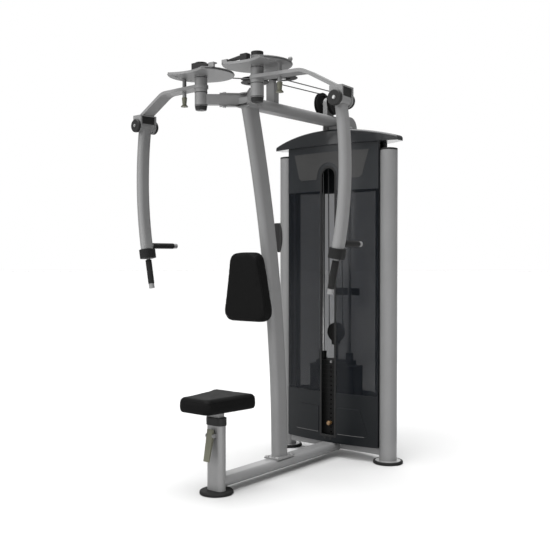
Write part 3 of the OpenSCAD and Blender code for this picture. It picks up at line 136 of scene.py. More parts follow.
daylight_spread = math.radians(60)
for name, place, strength in (
        ("front_daylight", (0.2, -2.8, 2.2), 1.8), ("top_daylight", (0.0, -0.4, 6.0), 6.4)):
    ready()
    bpy.ops.object.light_add(type="SUN", location=(0, 0, 6))
    daylight = bpy.context.object
    daylight.data.energy = strength
    daylight.data.angle = daylight_spread
    aimed(daylight, name, place, (0, 0, 0))
softbox("left_softbox", (-1.6, -3.2, 2.2), (0.0, -0.4, 1.3), (1.4, 2.6), 40)
softbox("right_softbox", (4.4, -0.4, 2.4), (0.0, 0.2, 1.0), (0.8, 3.0), 5)
softbox("low_softbox", (1.5, -1.5, 0.45), (0.0, -0.1, 0.05), (1.4, 0.3), 10)
softbox("lit_backdrop", (-2.6, 3.2, 1.6), (0.0, 0.0, 0.9), (5.0, 2.8), 44)
bpy.context.object.visible_camera = False

ready()
floor_z = -0.0005
bpy.ops.mesh.primitive_circle_add(
    vertices=96, radius=60, fill_type="NGON", location=(0, 0, floor_z))
floor = bpy.context.object
floor.name = "floor"
floor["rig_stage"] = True

camera_place = Vector((2.6359, -3.3911, 1.1196))
heading_x, heading_y, tilt = -0.6185, 0.7858, math.radians(1.28)
look = Vector((heading_x * math.cos(tilt), heading_y * math.cos(tilt), -math.sin(tilt)))
ready()
bpy.ops.object.camera_add(location=camera_place)
camera = bpy.context.object
camera.data.sensor_width = 36.0
camera.data.lens = 54.41
camera.rotation_mode = "QUATERNION"
camera.rotation_quaternion = look.to_track_quat("-Z", "Y")
scene.camera = camera


class Wire:
    """One output of a material's nodes, which can be written in sums."""

    def __init__(self, finish, out):
        self.finish, self.out = finish, out

    def maths(self, operation, a, b):
        return self.finish.add("ShaderNodeMath", {"operation": operation}, {0: a, 1: b})

    def __add__(self, other):
        return self.maths("ADD", self, other)

    def __mul__(self, other):
        return self.maths("MULTIPLY", self, other)

    def __gt__(self, other):
        return self.maths("GREATER_THAN", self, other)

    def __lt__(self, other):
        return self.maths("LESS_THAN", self, other)

    __radd__ = __add__
    __rmul__ = __mul__


class Finish:
    """A material: fixed values are set once, and what varies is joined to its sockets."""

    def __init__(self, name, **fixed):
        self.material = bpy.data.materials.new(name)
        self.material.use_nodes = True
        self.tree = self.material.node_tree
        self.shader = self.tree.nodes["Principled BSDF"]
        self.set(**fixed)
        self.place = self.add("ShaderNodeTexCoord", {}, {}, "Object")

    def join(self, socket, value):
        if isinstance(value, Wire):
            self.tree.links.new(value.out, socket)
        else:
            socket.default_value = value

    def add(self, kind, settings, sockets, out=0):
        node = self.tree.nodes.new(kind)
        for name, value in settings.items():
            setattr(node, name, value)
        for name, value in sockets.items():
            self.join(node.inputs[name], value)
        return Wire(self, node.outputs[out])

    def set(self, **sockets):
        for socket, value in sockets.items():
            self.join(self.shader.inputs[socket.replace("_", " ")], value)

    def noise(self, scale, detail=3.0, roughness=0.55, stretch=None):
        at = self.place
        if stretch:
            at = self.add("ShaderNodeMapping", {}, {"Vector": at, "Scale": stretch})
        return self.add("ShaderNodeTexNoise", {}, {
            "Vector": at, "Scale": scale, "Detail": detail, "Roughness": roughness})

    def axis(self, name):
        return self.add("ShaderNodeSeparateXYZ", {}, {0: self.place}, name)

    def blend(self, amount, a, b):
        return self.add("ShaderNodeMix", {"data_type": "RGBA"}, {0: amount, 6: a, 7: b}, 2)

    def bump(self, height, strength, distance):
        self.set(Normal=self.add("ShaderNodeBump", {}, {
            "Height": height, "Strength": strength, "Distance": distance}))


def shade(value, tone=(1.0, 1.0, 1.0)):
    return tuple(value * part for part in tone) + (1.0,)


pale_floor = Finish("pale_floor", Specular_IOR_Level=0.1)
trodden = pale_floor.noise(3.0)
pale_floor.set(
    Base_Color=pale_floor.blend(trodden, shade(0.39), shade(0.41)), Roughness=0.6 + trodden * 0.1)
floor.data.materials.append(pale_floor.material)


# Columns, beams and mast
# Welded steel tube and plate, blasted and powder coated in a silver grey with a fine metal flake
# under a clear coat, shinier low down where shoes rub it. Each joint carries its bead of weld.
silver_paint = Finish("silver_grey_paint", Metallic=0.30, Coat_Roughness=0.18)
flake = silver_paint.add("ShaderNodeSeparateColor", {}, {0: silver_paint.add(
    "ShaderNodeTexVoronoi", {}, {"Vector": silver_paint.place, "Scale": 1400.0}, "Color")}, 0)
cloud = silver_paint.noise(5.0, 4.0)
shoe_height = 0.12
rubbed = silver_paint.axis("Z") < shoe_height
silver_paint.set(
    Base_Color=silver_paint.blend(
        flake * 0.35 + cloud * 0.45, shade(0.145), shade(0.215, (0.995, 1.0, 1.005))),
    Roughness=0.54 + cloud * 0.10 + flake * 0.06,
    Coat_Weight=0.03 + cloud * 0.06 + rubbed * 0.45)
silver_paint.bump(silver_paint.noise(420.0, 2.0), 0.10, 0.0004)

sharp_angle, merge_gap = 38, 0.00002


def only(piece):
    ready()
    piece.select_set(True)
    bpy.context.view_layer.objects.active = piece


def opened(piece):
    """Edit mode, with the whole piece selected."""
    only(piece)
    bpy.ops.object.mode_set(mode="EDIT")
    bpy.ops.mesh.select_all(action="SELECT")


def modified(piece, kind, **settings):
    """Applies one modifier, with its settings, to a piece."""
    only(piece)
    change = piece.modifiers.new(kind.lower(), kind)
    for name, value in settings.items():
        setattr(change, name, value)
    bpy.ops.object.modifier_apply(modifier=change.name)


def coated(piece, body, finish, slot, *nodes, smooth=sharp_angle):
    """Gives a piece its finish and joins it to its body."""
    only(piece)
    bpy.ops.object.shade_smooth_by_angle(angle=math.radians(smooth))
    modified(piece, "WEIGHTED_NORMAL", keep_sharp=True)
    piece.data.materials.clear()
    piece.data.materials.append(finish.material)
    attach(piece, body)
    if nodes:
        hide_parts(*nodes)
    return piece


def copied(node):
    """A copy of a solid, its loose triangles merged and the faces inside it removed."""
    only(frame["nodes"][node])
    bpy.ops.object.duplicate()
    piece = bpy.context.object
    piece.name = node + ".made"
    del piece["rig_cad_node"]
    piece.parent = None
    if piece.data.has_custom_normals:
        bpy.ops.mesh.customdata_custom_splitnormals_clear()
    opened(piece)
    bpy.ops.mesh.remove_doubles(threshold=merge_gap)
    bpy.ops.mesh.select_all(action="DESELECT")
    bpy.ops.mesh.select_mode(type="FACE")
    bpy.ops.mesh.select_interior_faces()
    bpy.ops.mesh.delete(type="FACE")
    bpy.ops.mesh.select_all(action="SELECT")
    bpy.ops.mesh.dissolve_limited(angle_limit=math.radians(0.2))
    bpy.ops.object.mode_set(mode="OBJECT")
    return piece


def dressed(node, body, finish, slot, round_over=0.0015, steps=2):
    """The solid with its edges rounded over."""
    piece = copied(node)
    if round_over:
        modified(piece, "BEVEL", width=round_over, segments=steps, limit_method="ANGLE",
                 angle_limit=math.radians(sharp_angle))
    return coated(piece, body, finish, slot, node)


def bead(name, body, finish, slot, lines, radius, ripple=0.16):
    """Beads, each laid along its points and closed where its ends meet; a weld's is rippled."""
    run = bpy.data.curves.new(name, "CURVE")
    run.dimensions = "3D"
    run.bevel_depth, run.bevel_resolution = radius, 1
    run.use_fill_caps = True
    for points in lines:
        laid = []
        for a, b in zip(points, points[1:]):
            a, b = Vector(a), Vector(b)
            count = max(1, round((b - a).length / (radius * 1.1)))
            laid += [a.lerp(b, k / count) for k in range(count)]
        ring = (Vector(points[0]) - Vector(points[-1])).length < 0.0005
        if not ring:
            laid.append(Vector(points[-1]))
        line = run.splines.new("POLY")
        line.points.add(len(laid) - 1)
        line.use_cyclic_u = ring
        for k, (point, at) in enumerate(zip(line.points, laid)):
            point.co = (*at, 1.0)
            point.radius = 1.0 + ripple * (1 if k % 2 else -1)
    beads = bpy.data.objects.new(name, run)
    scene.collection.objects.link(beads)
    only(beads)
    bpy.ops.object.convert(target="MESH")
    return coated(bpy.context.object, body, finish, slot, smooth=80)


def oval(wide, deep, steps=10):
    """Points round a flat oval, long in the first direction."""
    r, half = deep / 2, (wide - deep) / 2
    turn = [math.radians(-90 + 180 * k / steps) for k in range(steps + 1)]
    right = [(half + r * math.cos(t), r * math.sin(t)) for t in turn]
    return right + [(-x, -y) for x, y in right] + right[:1]


for node in ("left_column", "right_column", "rear_crossbeam", "tower_header", "base_beam", "mast",
             "top_beam", "saddle", "yoke_bars", "yoke_gussets", "pivot_housings",
             "pulley_brackets", "pad_bracket"):
    dressed(node, "frame", silver_paint, "grey_paint")

tower_y, mast_y, seat_y = 0.5175, -0.0055, -0.4895
column_x, column_r = 0.340, 0.0475
cross_half, cross_low, cross_top = 0.025, 0.040, 0.090
square = [(-cross_half, cross_low), (cross_half, cross_low), (cross_half, cross_top),
          (-cross_half, cross_top), (-cross_half, cross_low)]
fine = [Vector(a).lerp(Vector(b), k / 8) for a, b in zip(square, square[1:]) for k in range(8)]
beam_ends = [
    [(side * (column_x - math.sqrt(column_r ** 2 - p.x ** 2)), tower_y + p.x, p.y)
     for p in fine + fine[:1]] for side in (-1, 1)]
mast_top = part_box("mast")[1].z
mast_head = [v.co.y for v in frame["nodes"]["mast"].data.vertices if v.co.z > mast_top - 0.002]
mast_head_y = (min(mast_head) + max(mast_head)) / 2
foot_plate, base_z, base_oval = 0.008, 0.055, oval(0.100, 0.050)
foot_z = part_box("mast")[0].z + foot_plate
weld_proud = 0.0005
post_half, post_r = 0.025, 0.025 + weld_proud
bead("frame_welds", "frame", silver_paint, "grey_paint", beam_ends + [
    [(y, mast_y + x, foot_z) for x, y in oval(0.102, 0.052)],
    [(y, mast_head_y + x, mast_top - 0.001) for x, y in oval(0.104, 0.052)],
    [(x, tower_y - (cross_half + weld_proud), base_z + y) for x, y in base_oval],
    [(x, seat_y + math.sqrt(max(0, post_r ** 2 - max(0, abs(x) - post_half) ** 2)), base_z + y)
     for x, y in base_oval],
], radius=0.0026)


# Caps, collar, hook and feet
# Injection moulded black plastic with a fine eroded grain: caps pressed into the tubes, the seat
# post's guide collar, seals at the pivots, a tray under the stack, and the hook with its clip round
# the column. The feet and the stack's bumpers are moulded rubber.
black_moulding = Finish("black_moulding", Specular_IOR_Level=0.18)
drift = black_moulding.noise(9.0)
black_moulding.set(
    Base_Color=black_moulding.blend(drift, shade(0.010), shade(0.016)),
    Roughness=0.42 + drift * 0.12)
black_moulding.bump(black_moulding.noise(1500.0, 2.0), 0.22, 0.0003)
for node in ("tube_caps", "post_collar", "accessory_hook"):
    dressed(node, "frame", black_moulding, "black_plastic", round_over=0.0025, steps=3)

clip_r, clip_z, clip_half = 0.0478, 1.231, 0.085
wrap_start, wrap_ends, wrap_bulge = 150, 66, 44
ready()
bpy.ops.mesh.primitive_grid_add(x_subdivisions=24, y_subdivisions=16, size=2)
clip = bpy.context.object
clip.name = "hook_clip"
for v in clip.data.vertices:
    across, up = v.co.x / 2 + 0.5, v.co.y
    turn = math.radians(wrap_start + across * (wrap_ends + wrap_bulge * math.sqrt(1 - up * up)))
    v.co = (-column_x + clip_r * math.cos(turn), tower_y + clip_r * math.sin(turn),
            clip_z + up * clip_half)
modified(clip, "SOLIDIFY", thickness=0.005, offset=1.0)
opened(clip)
bpy.ops.mesh.normals_make_consistent(inside=False)
bpy.ops.object.mode_set(mode="OBJECT")
modified(clip, "BEVEL", width=0.0018, segments=2, limit_method="ANGLE")
coated(clip, "frame", black_moulding, "black_plastic")

pivot_x, pivot_y, seam_z, housing_h = 0.178, -0.4015, 1.921, 0.062
turns = [math.radians(10 * k) for k in range(37)]
bead("pivot_seals", "frame", black_moulding, "black_plastic", [
    [(side * pivot_x + r * math.cos(t), pivot_y + r * math.sin(t), z) for t in turns]
    for side in (-1, 1) for r, z in ((0.0306, seam_z), (0.0300, seam_z - housing_h))],
     radius=0.0018, ripple=0)

black_rubber = Finish("black_rubber", Specular_IOR_Level=0.10)
scuff = black_rubber.noise(30.0, 6.0, 0.7)
black_rubber.set(
    Base_Color=black_rubber.blend(scuff, shade(0.007), shade(0.014)),
    Roughness=0.55 + scuff * 0.2)
black_rubber.bump(black_rubber.noise(700.0), 0.25, 0.0004)
dressed("feet", "frame", black_rubber, "black_rubber", round_over=0.003, steps=3)
dressed("stack_bumpers", "frame", black_rubber, "black_rubber", round_over=0.002)

tray_size, tray_z = (0.300, 0.130, 0.002), 0.0912
ready()
bpy.ops.mesh.primitive_cube_add(size=1, location=(0, tower_y, tray_z))
tray = bpy.context.object
tray.name = "stack_tray"
tray.scale = tray_size
bpy.ops.object.transform_apply(location=True, scale=True)
opened(tray)
bpy.ops.mesh.bevel(offset=0.0006, segments=2)
bpy.ops.object.mode_set(mode="OBJECT")
coated(tray, "frame", black_moulding, "black_plastic")


# Bolts and pulley pins
# Zinc plated hexagon bolts with washers in the gussets, the mast's foot plate and the saddle, and
# turned pins for the pulleys.
zinc = Finish("zinc_plate", Metallic=0.85)
spangle = zinc.noise(120.0, 5.0, 0.6)
zinc.set(
    Base_Color=zinc.blend(spangle, shade(0.30), shade(0.44)),
    Roughness=0.30 + spangle * 0.18)
dressed("pulley_pins", "frame", zinc, "zinc", round_over=0.0008)


def pick(piece, test):
    """Edit mode, with only the faces selected whose centre and normal pass the test."""
    only(piece)
    bpy.ops.object.mode_set(mode="EDIT")
    bpy.ops.mesh.select_mode(type="FACE")
    bpy.ops.mesh.select_all(action="DESELECT")
    shape = bmesh.from_edit_mesh(piece.data)
    for face in shape.faces:
        face.select_set(test(face.calc_center_median(), face.normal))
    bmesh.update_edit_mesh(piece.data)


def joined(pieces, name):
    """Several pieces as one, its place in its mesh."""
    only(pieces[0])
    for piece in pieces[1:]:
        piece.select_set(True)
    bpy.ops.object.join()
    bpy.ops.object.transform_apply(location=True, rotation=True, scale=True)
    pieces[0].name = name
    return pieces[0]


def hex_bolt(head_r, head_h, name):
    """A bolt head on its washer, standing on z = 0."""
    ready()
    bpy.ops.mesh.primitive_cylinder_add(
        vertices=6, radius=head_r, depth=head_h, location=(0, 0, head_h / 2))
    head = bpy.context.object
    bpy.ops.object.transform_apply(location=True)
    pick(head, lambda at, out: out.z > 0.9)
    bpy.ops.mesh.bevel(offset=head_h * 0.18, segments=2)
    pick(head, lambda at, out: out.z > 0.9 and at.xy.length < head_r * 0.2)
    bpy.ops.mesh.inset(thickness=head_r * 0.30)
    bpy.ops.transform.translate(value=(0, 0, -head_h * 0.06))
    ready()
    bpy.ops.mesh.primitive_cylinder_add(
        vertices=32, radius=head_r * 1.32, depth=head_h * 0.24, location=(0, 0, head_h * 0.12))
    washer = bpy.context.object
    bpy.ops.object.transform_apply(location=True)
    pick(washer, lambda at, out: out.z > 0.9)
    bpy.ops.mesh.bevel(offset=head_h * 0.07, segments=2)
    return joined([head, washer], name)


def set_out(model, places, name):
    """Copies of a model, each with its own mesh, at a place and with its top turned to a side."""
    copies = []
    for place, top in places:
        only(model)
        bpy.ops.object.duplicate()
        copy = bpy.context.object
        turn = Vector(top).to_track_quat("Z", "Y").to_matrix().to_4x4()
        copy.data.transform(Matrix.Translation(place) @ turn)
        copies.append(copy)
    return joined(copies, name)


bolt_r, bolt_h = 0.009, 0.007
gusset_low, gusset_top = 1.7, 1.89
opened(copied("frame_bolts"))
bpy.ops.mesh.separate(type="LOOSE")
bpy.ops.object.mode_set(mode="OBJECT")
places = []
for head in list(bpy.context.selected_objects):
    low = Vector([min(v.co[k] for v in head.data.vertices) for k in range(3)])
    high = Vector([max(v.co[k] for v in head.data.vertices) for k in range(3)])
    middle, size = (low + high) / 2, high - low
    if size.x < size.z:
        top = Vector((1 if middle.x > 0 else -1, 0, 0))
    else:
        top = Vector((0, 0, -1 if gusset_low < middle.z < gusset_top else 1))
    places.append((middle - top * (bolt_h / 2), top))
    bpy.data.objects.remove(head)
bolt = hex_bolt(bolt_r, bolt_h, "bolt_model")
coated(set_out(bolt, places, "frame_bolts.made"), "frame", zinc, "zinc", "frame_bolts")


# Seat post
# A satin steel flat-oval tube welded on the base beam. The seat's inner post slides in it, under
# the plate that carries the seat.
satin_steel = Finish("satin_steel", Metallic=0.45)
brushing = satin_steel.noise(60.0, 4.0, 0.6, (14.0, 14.0, 0.6))
satin_steel.set(
    Base_Color=satin_steel.blend(brushing, shade(0.155), shade(0.22)),
    Roughness=0.36 + brushing * 0.14)
satin_steel.bump(brushing, 0.06, 0.0004)
dressed("seat_post", "frame", satin_steel, "seat_steel")
dressed("seat_carrier", "seat", satin_steel, "seat_steel", round_over=0.002)


# Shroud
# Bowed fascias, side rails and a crowned top cover, vacuum formed in charcoal plastic with a fine
# grain, with a painted shade that darkens it low down. The cover is glossier than the rest.
charcoal = Finish("charcoal_moulding", Specular_IOR_Level=0.24)
smoke = charcoal.noise(4.0, 4.0)
moulded = charcoal.blend(smoke, (0.0092, 0.0105, 0.0120, 1), (0.0130, 0.0146, 0.0165, 1))
# Painted shade: the charcoal's colour darkens from about 1.4 m above the floor down to a near-black
# blue at the floor.
painted_shade_low, painted_shade_fade_per_metre = (0.0005, 0.0014, 0.0024, 1), 0.7
charcoal.set(
    Base_Color=charcoal.blend(charcoal.axis("Z") * painted_shade_fade_per_metre, painted_shade_low, moulded),
    Roughness=0.27 + smoke * 0.12)
charcoal.bump(charcoal.noise(900.0, 2.0), 0.16, 0.0003)
for node in ("front_fascias", "rear_fascias", "side_rails"):
    dressed(node, "frame", charcoal, "charcoal", round_over=0.0018)

crown_low = 1.75
cover = copied("top_cover")
bpy.ops.object.mode_set(mode="EDIT")
bpy.ops.mesh.select_mode(type="EDGE")
bpy.ops.mesh.select_all(action="DESELECT")
shell = bmesh.from_edit_mesh(cover.data)
for edge in shell.edges:
    tilts = sorted(face.normal.z for face in edge.link_faces)
    crown = len(tilts) == 2 and abs(tilts[0]) < 0.3 and tilts[1] > 0.75
    if crown and edge.verts[0].co.z > crown_low:
        edge.select_set(True)
bmesh.update_edit_mesh(cover.data)
bpy.ops.mesh.bevel(offset=0.012, segments=5)
bpy.ops.object.mode_set(mode="OBJECT")
gloss = Finish("cover_moulding", Specular_IOR_Level=0.16, Coat_Roughness=0.12)
handled = gloss.noise(7.0, 4.0)
gloss.set(
    Base_Color=gloss.blend(handled, (0.0075, 0.0085, 0.0096, 1), (0.0105, 0.0117, 0.0130, 1)),
    Roughness=0.34 + handled * 0.10, Coat_Weight=0.34 + handled * 0.12)
coated(cover, "frame", gloss, "charcoal", "top_cover")


# Trim of the shroud
# A thin plain placard round the top of the slot, the raised fields of the lower fascia with a lip
# under each coloured light grey as a painted highlight, the slot's moulded rim, a dark stay across
# the rear panel, two black screws under the slot, and the tinted clear panels.
strip = 0.02
front_depth, front_r = 0.082, 1.329
rear_depth, rear_r = 0.127, 0.6138


def bowed_plate(name, outlines, finish, slot, bow, thick, edge, proud):
    """A flat plate cut to its outlines, the first one outside, and bent to lie on a bow."""
    drawn = bpy.data.curves.new(name, "CURVE")
    drawn.dimensions, drawn.fill_mode = "2D", "BOTH"
    drawn.extrude, drawn.bevel_depth, drawn.offset = thick / 2 - edge, edge, -edge
    drawn.bevel_resolution = 1
    for outline in outlines:
        line = drawn.splines.new("POLY")
        line.points.add(len(outline) - 1)
        line.use_cyclic_u = True
        for point, (x, z) in zip(line.points, outline):
            point.co = (x, z, 0, 1)
    plate = bpy.data.objects.new(name, drawn)
    scene.collection.objects.link(plate)
    only(plate)
    bpy.ops.object.convert(target="MESH")
    plate = bpy.context.object
    plate.data.transform(Matrix.Rotation(math.radians(90), 4, "X"))
    opened(plate)
    left, right = min(x for x, z in outlines[0]), max(x for x, z in outlines[0])
    for k in range(1, math.ceil((right - left) / strip)):
        bpy.ops.mesh.select_all(action="SELECT")
        bpy.ops.mesh.bisect(plane_co=(left + strip * k, 0, 0), plane_no=(1, 0, 0))
    bpy.ops.mesh.select_all(action="SELECT")
    bpy.ops.mesh.remove_doubles(threshold=merge_gap)
    bpy.ops.object.mode_set(mode="OBJECT")
    for v in plate.data.vertices:
        v.co.y += bow(v.co.x) - (proud - thick / 2)
    return coated(plate, "frame", finish, slot, smooth=30)


def rounded(corners, radius, steps=5):
    """A closed outline with its corners rounded."""
    outline = []
    for k, corner in enumerate(corners):
        corner = Vector(corner)
        before = (Vector(corners[k - 1]) - corner).normalized()
        after = (Vector(corners[(k + 1) % len(corners)]) - corner).normalized()
        half = before.angle(after) / 2
        run = radius / math.tan(half)
        for j in range(steps + 1):
            t = j / steps
            a, b = corner + before * run * (1 - t), corner + after * run * t
            outline.append(tuple(a.lerp(b, t)))
    return outline


def front_bow(x):
    return tower_y - front_depth + front_r - math.sqrt(front_r ** 2 - x ** 2)


def rear_bow(x):
    return tower_y + rear_depth - rear_r + math.sqrt(rear_r ** 2 - x ** 2)


plain_print = Finish("placard_print", Specular_IOR_Level=0.24)
worn = plain_print.noise(8.0, 4.0)
plain_print.set(
    Base_Color=plain_print.blend(worn, shade(0.026), shade(0.034)), Roughness=0.36 + worn * 0.12)
slot_half, slot_low, slot_arch = 0.042, 0.123, 1.568
placard_r, placard_low, placard_top = 0.075, 1.551, 1.700
arch = [math.radians(180 - 180 * k / 16) for k in range(17)]
placard_end = [(0.081, placard_low), (0.195, placard_low), (0.212, 1.566), (0.250, placard_top)]
placard = [(-x, z) for x, z in reversed(placard_end)]
placard += [(placard_r * math.cos(t), slot_arch + placard_r * math.sin(t)) for t in arch]
placard += placard_end
bowed_plate("placard", [placard], plain_print, "charcoal", front_bow,
            thick=0.0016, edge=0.0004, proud=0.0012)

field_in, field_low, field_top, field_corner = 0.062, 0.132, 0.280, 0.016
for name, side in (("left_field", -1), ("right_field", 1)):
    field = rounded([(side * x, z) for x, z in (
        (field_in, field_top), (0.200, field_top), (0.250, field_low), (field_in, field_low))],
        field_corner)
    bowed_plate(name, [field], charcoal, "charcoal", front_bow,
                thick=0.004, edge=0.0012, proud=0.0026)

# Painted highlight: each lip is light grey, several times lighter than the charcoal, standing for
# the light caught along the bottom edge of its field.
painted_highlight_lip = Finish("painted_highlight_lip", Specular_IOR_Level=0.4)
fading = painted_highlight_lip.noise(30.0, 3.0)
painted_highlight_lip.set(
    Base_Color=painted_highlight_lip.blend(fading, shade(0.070), shade(0.095)),
    Roughness=0.30 + fading * 0.1)
lip_z, lip_proud = 0.1325, 0.0012
lip_x = [0.066 + 0.018 * k for k in range(10)]
bead("field_highlight_lips", "frame", painted_highlight_lip, "charcoal", [
    [(side * x, front_bow(x) - lip_proud, lip_z) for x in lip_x] for side in (-1, 1)],
     radius=0.0020, ripple=0)


def slot_edge(grow):
    """The slot's outline, grown to each side."""
    r, low = slot_half + grow, slot_low - grow
    return [(-r, low), (-r, slot_arch)] + [
        (r * math.cos(t), slot_arch + r * math.sin(t)) for t in arch[1:-1]] + [
        (r, slot_arch), (r, low)]


bowed_plate("slot_rim", [slot_edge(0.012), slot_edge(0.0005)], black_moulding, "black_plastic",
            front_bow, thick=0.004, edge=0.0010, proud=0.0020)

stay_half, stay_low, stay_top, stay_corner = 0.083, 0.896, 0.938, 0.008
stay = rounded([(-stay_half, stay_low), (stay_half, stay_low), (stay_half, stay_top),
                (-stay_half, stay_top)], stay_corner)
bowed_plate("rear_stay", [stay], black_moulding, "black_plastic", rear_bow,
            thick=0.003, edge=0.0008, proud=0.008)

screw_x, screw_z = 0.018, 0.101
screw = hex_bolt(0.0060, 0.004, "screw_model")
screws = set_out(screw, [((x, front_bow(x), screw_z), (0, -1, 0)) for x in (-screw_x, screw_x)],
                 "fascia_screws")
coated(screws, "frame", black_moulding, "black_plastic")

tint = Finish("tinted_panel", Alpha=0.58, Specular_IOR_Level=0.2)
haze = tint.noise(6.0, 5.0)
front_tint = tint.blend(haze, (0.003, 0.0042, 0.0062, 1), (0.005, 0.0064, 0.0088, 1))
rear_tint = (0.008, 0.014, 0.034, 1)
tint.set(
    Base_Color=tint.blend(tint.axis("Y") > tower_y, front_tint, rear_tint),
    Roughness=0.14 + haze * 0.05)
dressed("windows", "frame", tint, "tint", round_over=0.0008, steps=1)


# Weight stack
# Cast plates painted black on two chromed rods, lifted by a floating pulley on a forked head with a
# bolt in its front. The selector pin has a moulded brown knob and is brown all along.
chrome = Finish("chrome_rod", Metallic=1.0)
rub = chrome.noise(40.0, 5.0, 0.6, (4.0, 4.0, 0.3))
chrome.set(
    Base_Color=chrome.blend(rub, shade(0.15), shade(0.22)),
    Roughness=0.12 + rub * 0.14)
dressed("guide_rods", "frame", chrome, "chrome", round_over=0.001, steps=1)

cast_black = Finish("black_cast_plate", Specular_IOR_Level=0.10)
pits = cast_black.noise(220.0, 4.0, 0.65)
cast_black.set(
    Base_Color=cast_black.blend(pits, shade(0.0035), shade(0.0070)),
    Roughness=0.44 + pits * 0.2)
cast_black.bump(pits, 0.35, 0.0005)
for node, body in (
        ("resting_plates", "frame"), ("lifted_plates", "stack"), ("stack_head", "stack")):
    dressed(node, body, cast_black, "stack_black")

head_front, head_bolt_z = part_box("stack_head")[0].y, 0.528
coated(set_out(screw, [((0, head_front, head_bolt_z), (0, -1, 0))], "stack_head_bolt"),
       "stack", chrome, "chrome")

brown = Finish("brown_knob", Coat_Weight=0.3, Coat_Roughness=0.15)
swirl = brown.noise(90.0, 4.0)
brown.set(
    Base_Color=brown.blend(swirl, (0.115, 0.062, 0.022, 1), (0.165, 0.092, 0.034, 1)),
    Roughness=0.32 + swirl * 0.1)
dressed("selector_pin", "selector", brown, "brown_knob", round_over=0.001)


# Cables and pulleys
# Steel wire rope in a black nylon jacket, taut on pulleys turned from black glass-filled nylon. On
# the machine the drops in the tower shorten as the stack rises; here they only get a mesh of their
# own.
jacket = Finish("cable_jacket", Coat_Weight=0.2, Coat_Roughness=0.2)
lay = jacket.noise(700.0, 3.0)
jacket.set(
    Base_Color=jacket.blend(lay, shade(0.016), shade(0.028)), Roughness=0.34 + lay * 0.14)
jacket.bump(lay, 0.2, 0.0003)
dressed("cable_runs", "frame", jacket, "cable", round_over=0)
drops = dressed("cable_drops", "frame", jacket, "cable", round_over=0)
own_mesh(drops)
dressed("float_cable", "stack", jacket, "cable", round_over=0)
for side in ("right", "left"):
    dressed(side + "_rim_cable", side + "_cam_set", jacket, "cable", round_over=0)

nylon = Finish("pulley_nylon", Specular_IOR_Level=0.06)
turned = nylon.noise(160.0, 4.0)
nylon.set(
    Base_Color=nylon.blend(turned, shade(0.007), shade(0.012)), Roughness=0.5 + turned * 0.14)
nylon.bump(nylon.noise(800.0), 0.12, 0.0003)
for node, body in (
        ("right_guide_pulley", "right_guide_wheel"), ("right_tower_pulley", "right_tower_wheel"),
        ("left_guide_pulley", "left_guide_wheel"), ("left_tower_pulley", "left_tower_wheel"),
        ("floating_pulley", "float_wheel")):
    dressed(node, body, nylon, "black_plastic", round_over=0.0012)


# Seat and back pads
# Black grained vinyl stretched over moulded foam on a board and stapled beneath, with a welted
# seam round the edge of the face.
vinyl = Finish("black_vinyl", Specular_IOR_Level=0.06)
cells = vinyl.add("ShaderNodeTexVoronoi", {"feature": "DISTANCE_TO_EDGE"}, {
    "Vector": vinyl.place, "Scale": 420.0}, "Distance")
crease = vinyl.noise(16.0, 5.0)
vinyl.set(
    Base_Color=vinyl.blend(crease, shade(0.0020), shade(0.0034)),
    Roughness=0.50 + crease * 0.14)
vinyl.bump(cells + crease * 0.2, 0.28, 0.0005)

foam_edge, board_edge, pump_frames = 0.02, 0.004, 20


def pumped(node, body, face, shrink, cap):
    """A vinyl pad blown up over its foam: it swells away from the board that it sits on."""
    pad = copied(node)
    low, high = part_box(node)
    middle = (low + high) / 2
    face = Vector(face).normalized()
    base = min(v.co.dot(face) for v in pad.data.vertices)
    for v in pad.data.vertices:
        out = v.co - middle
        rise = out.dot(face)
        flat = out - face * rise
        v.co = middle + face * rise + flat * (1 - shrink / max(flat.length, 0.001))
        if v.co.dot(face) > base + foam_edge:
            v.co -= face * shrink * 0.7
    pad.data.remesh_voxel_size = 0.005
    bpy.ops.object.voxel_remesh()
    rest = [v.co.copy() for v in pad.data.vertices]
    board = pad.vertex_groups.new(name="board")
    stapled = [v.index for v in pad.data.vertices if v.co.dot(face) < base + board_edge]
    board.add(stapled, 1.0, "REPLACE")
    pump = pad.modifiers.new("pump", "CLOTH")
    pump.settings.use_pressure = True
    pump.settings.uniform_pressure_force = 4.0
    pump.settings.bending_stiffness = 12.0
    pump.settings.vertex_group_mass = "board"
    pump.settings.effector_weights.gravity = 0.0
    pump.point_cache.frame_start, pump.point_cache.frame_end = 1, pump_frames
    for step in range(1, pump_frames + 1):
        scene.frame_set(step)
    only(pad)
    bpy.ops.object.modifier_apply(modifier=pump.name)
    scene.frame_set(1)
    for v, start in zip(pad.data.vertices, rest):
        move = v.co - start
        if move.length > cap:
            v.co = start + move * (cap / move.length)
    pad.vertex_groups.clear()
    modified(pad, "SMOOTH", factor=0.5, iterations=14)
    modified(pad, "SUBSURF", levels=1, render_levels=1)
    coated(pad, body, vinyl, "vinyl", node, smooth=70)
    return pad


def welt(pad, name, body, place, face, radius):
    """A welt along the line where a plane cuts the pad."""
    only(pad)
    bpy.ops.object.duplicate()
    seam = bpy.context.object
    for key in list(seam.keys()):
        if key.startswith("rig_"):
            del seam[key]
    seam.parent = None
    opened(seam)
    bpy.ops.mesh.bisect(plane_co=place, plane_no=face, clear_inner=True, clear_outer=True)
    bpy.ops.object.mode_set(mode="OBJECT")
    bpy.ops.object.convert(target="CURVE")
    seam = bpy.context.object
    seam.data.bevel_depth, seam.data.bevel_resolution = radius, 2
    bpy.ops.object.convert(target="MESH")
    seam = bpy.context.object
    seam.name = name
    return coated(seam, body, vinyl, "vinyl", smooth=60)


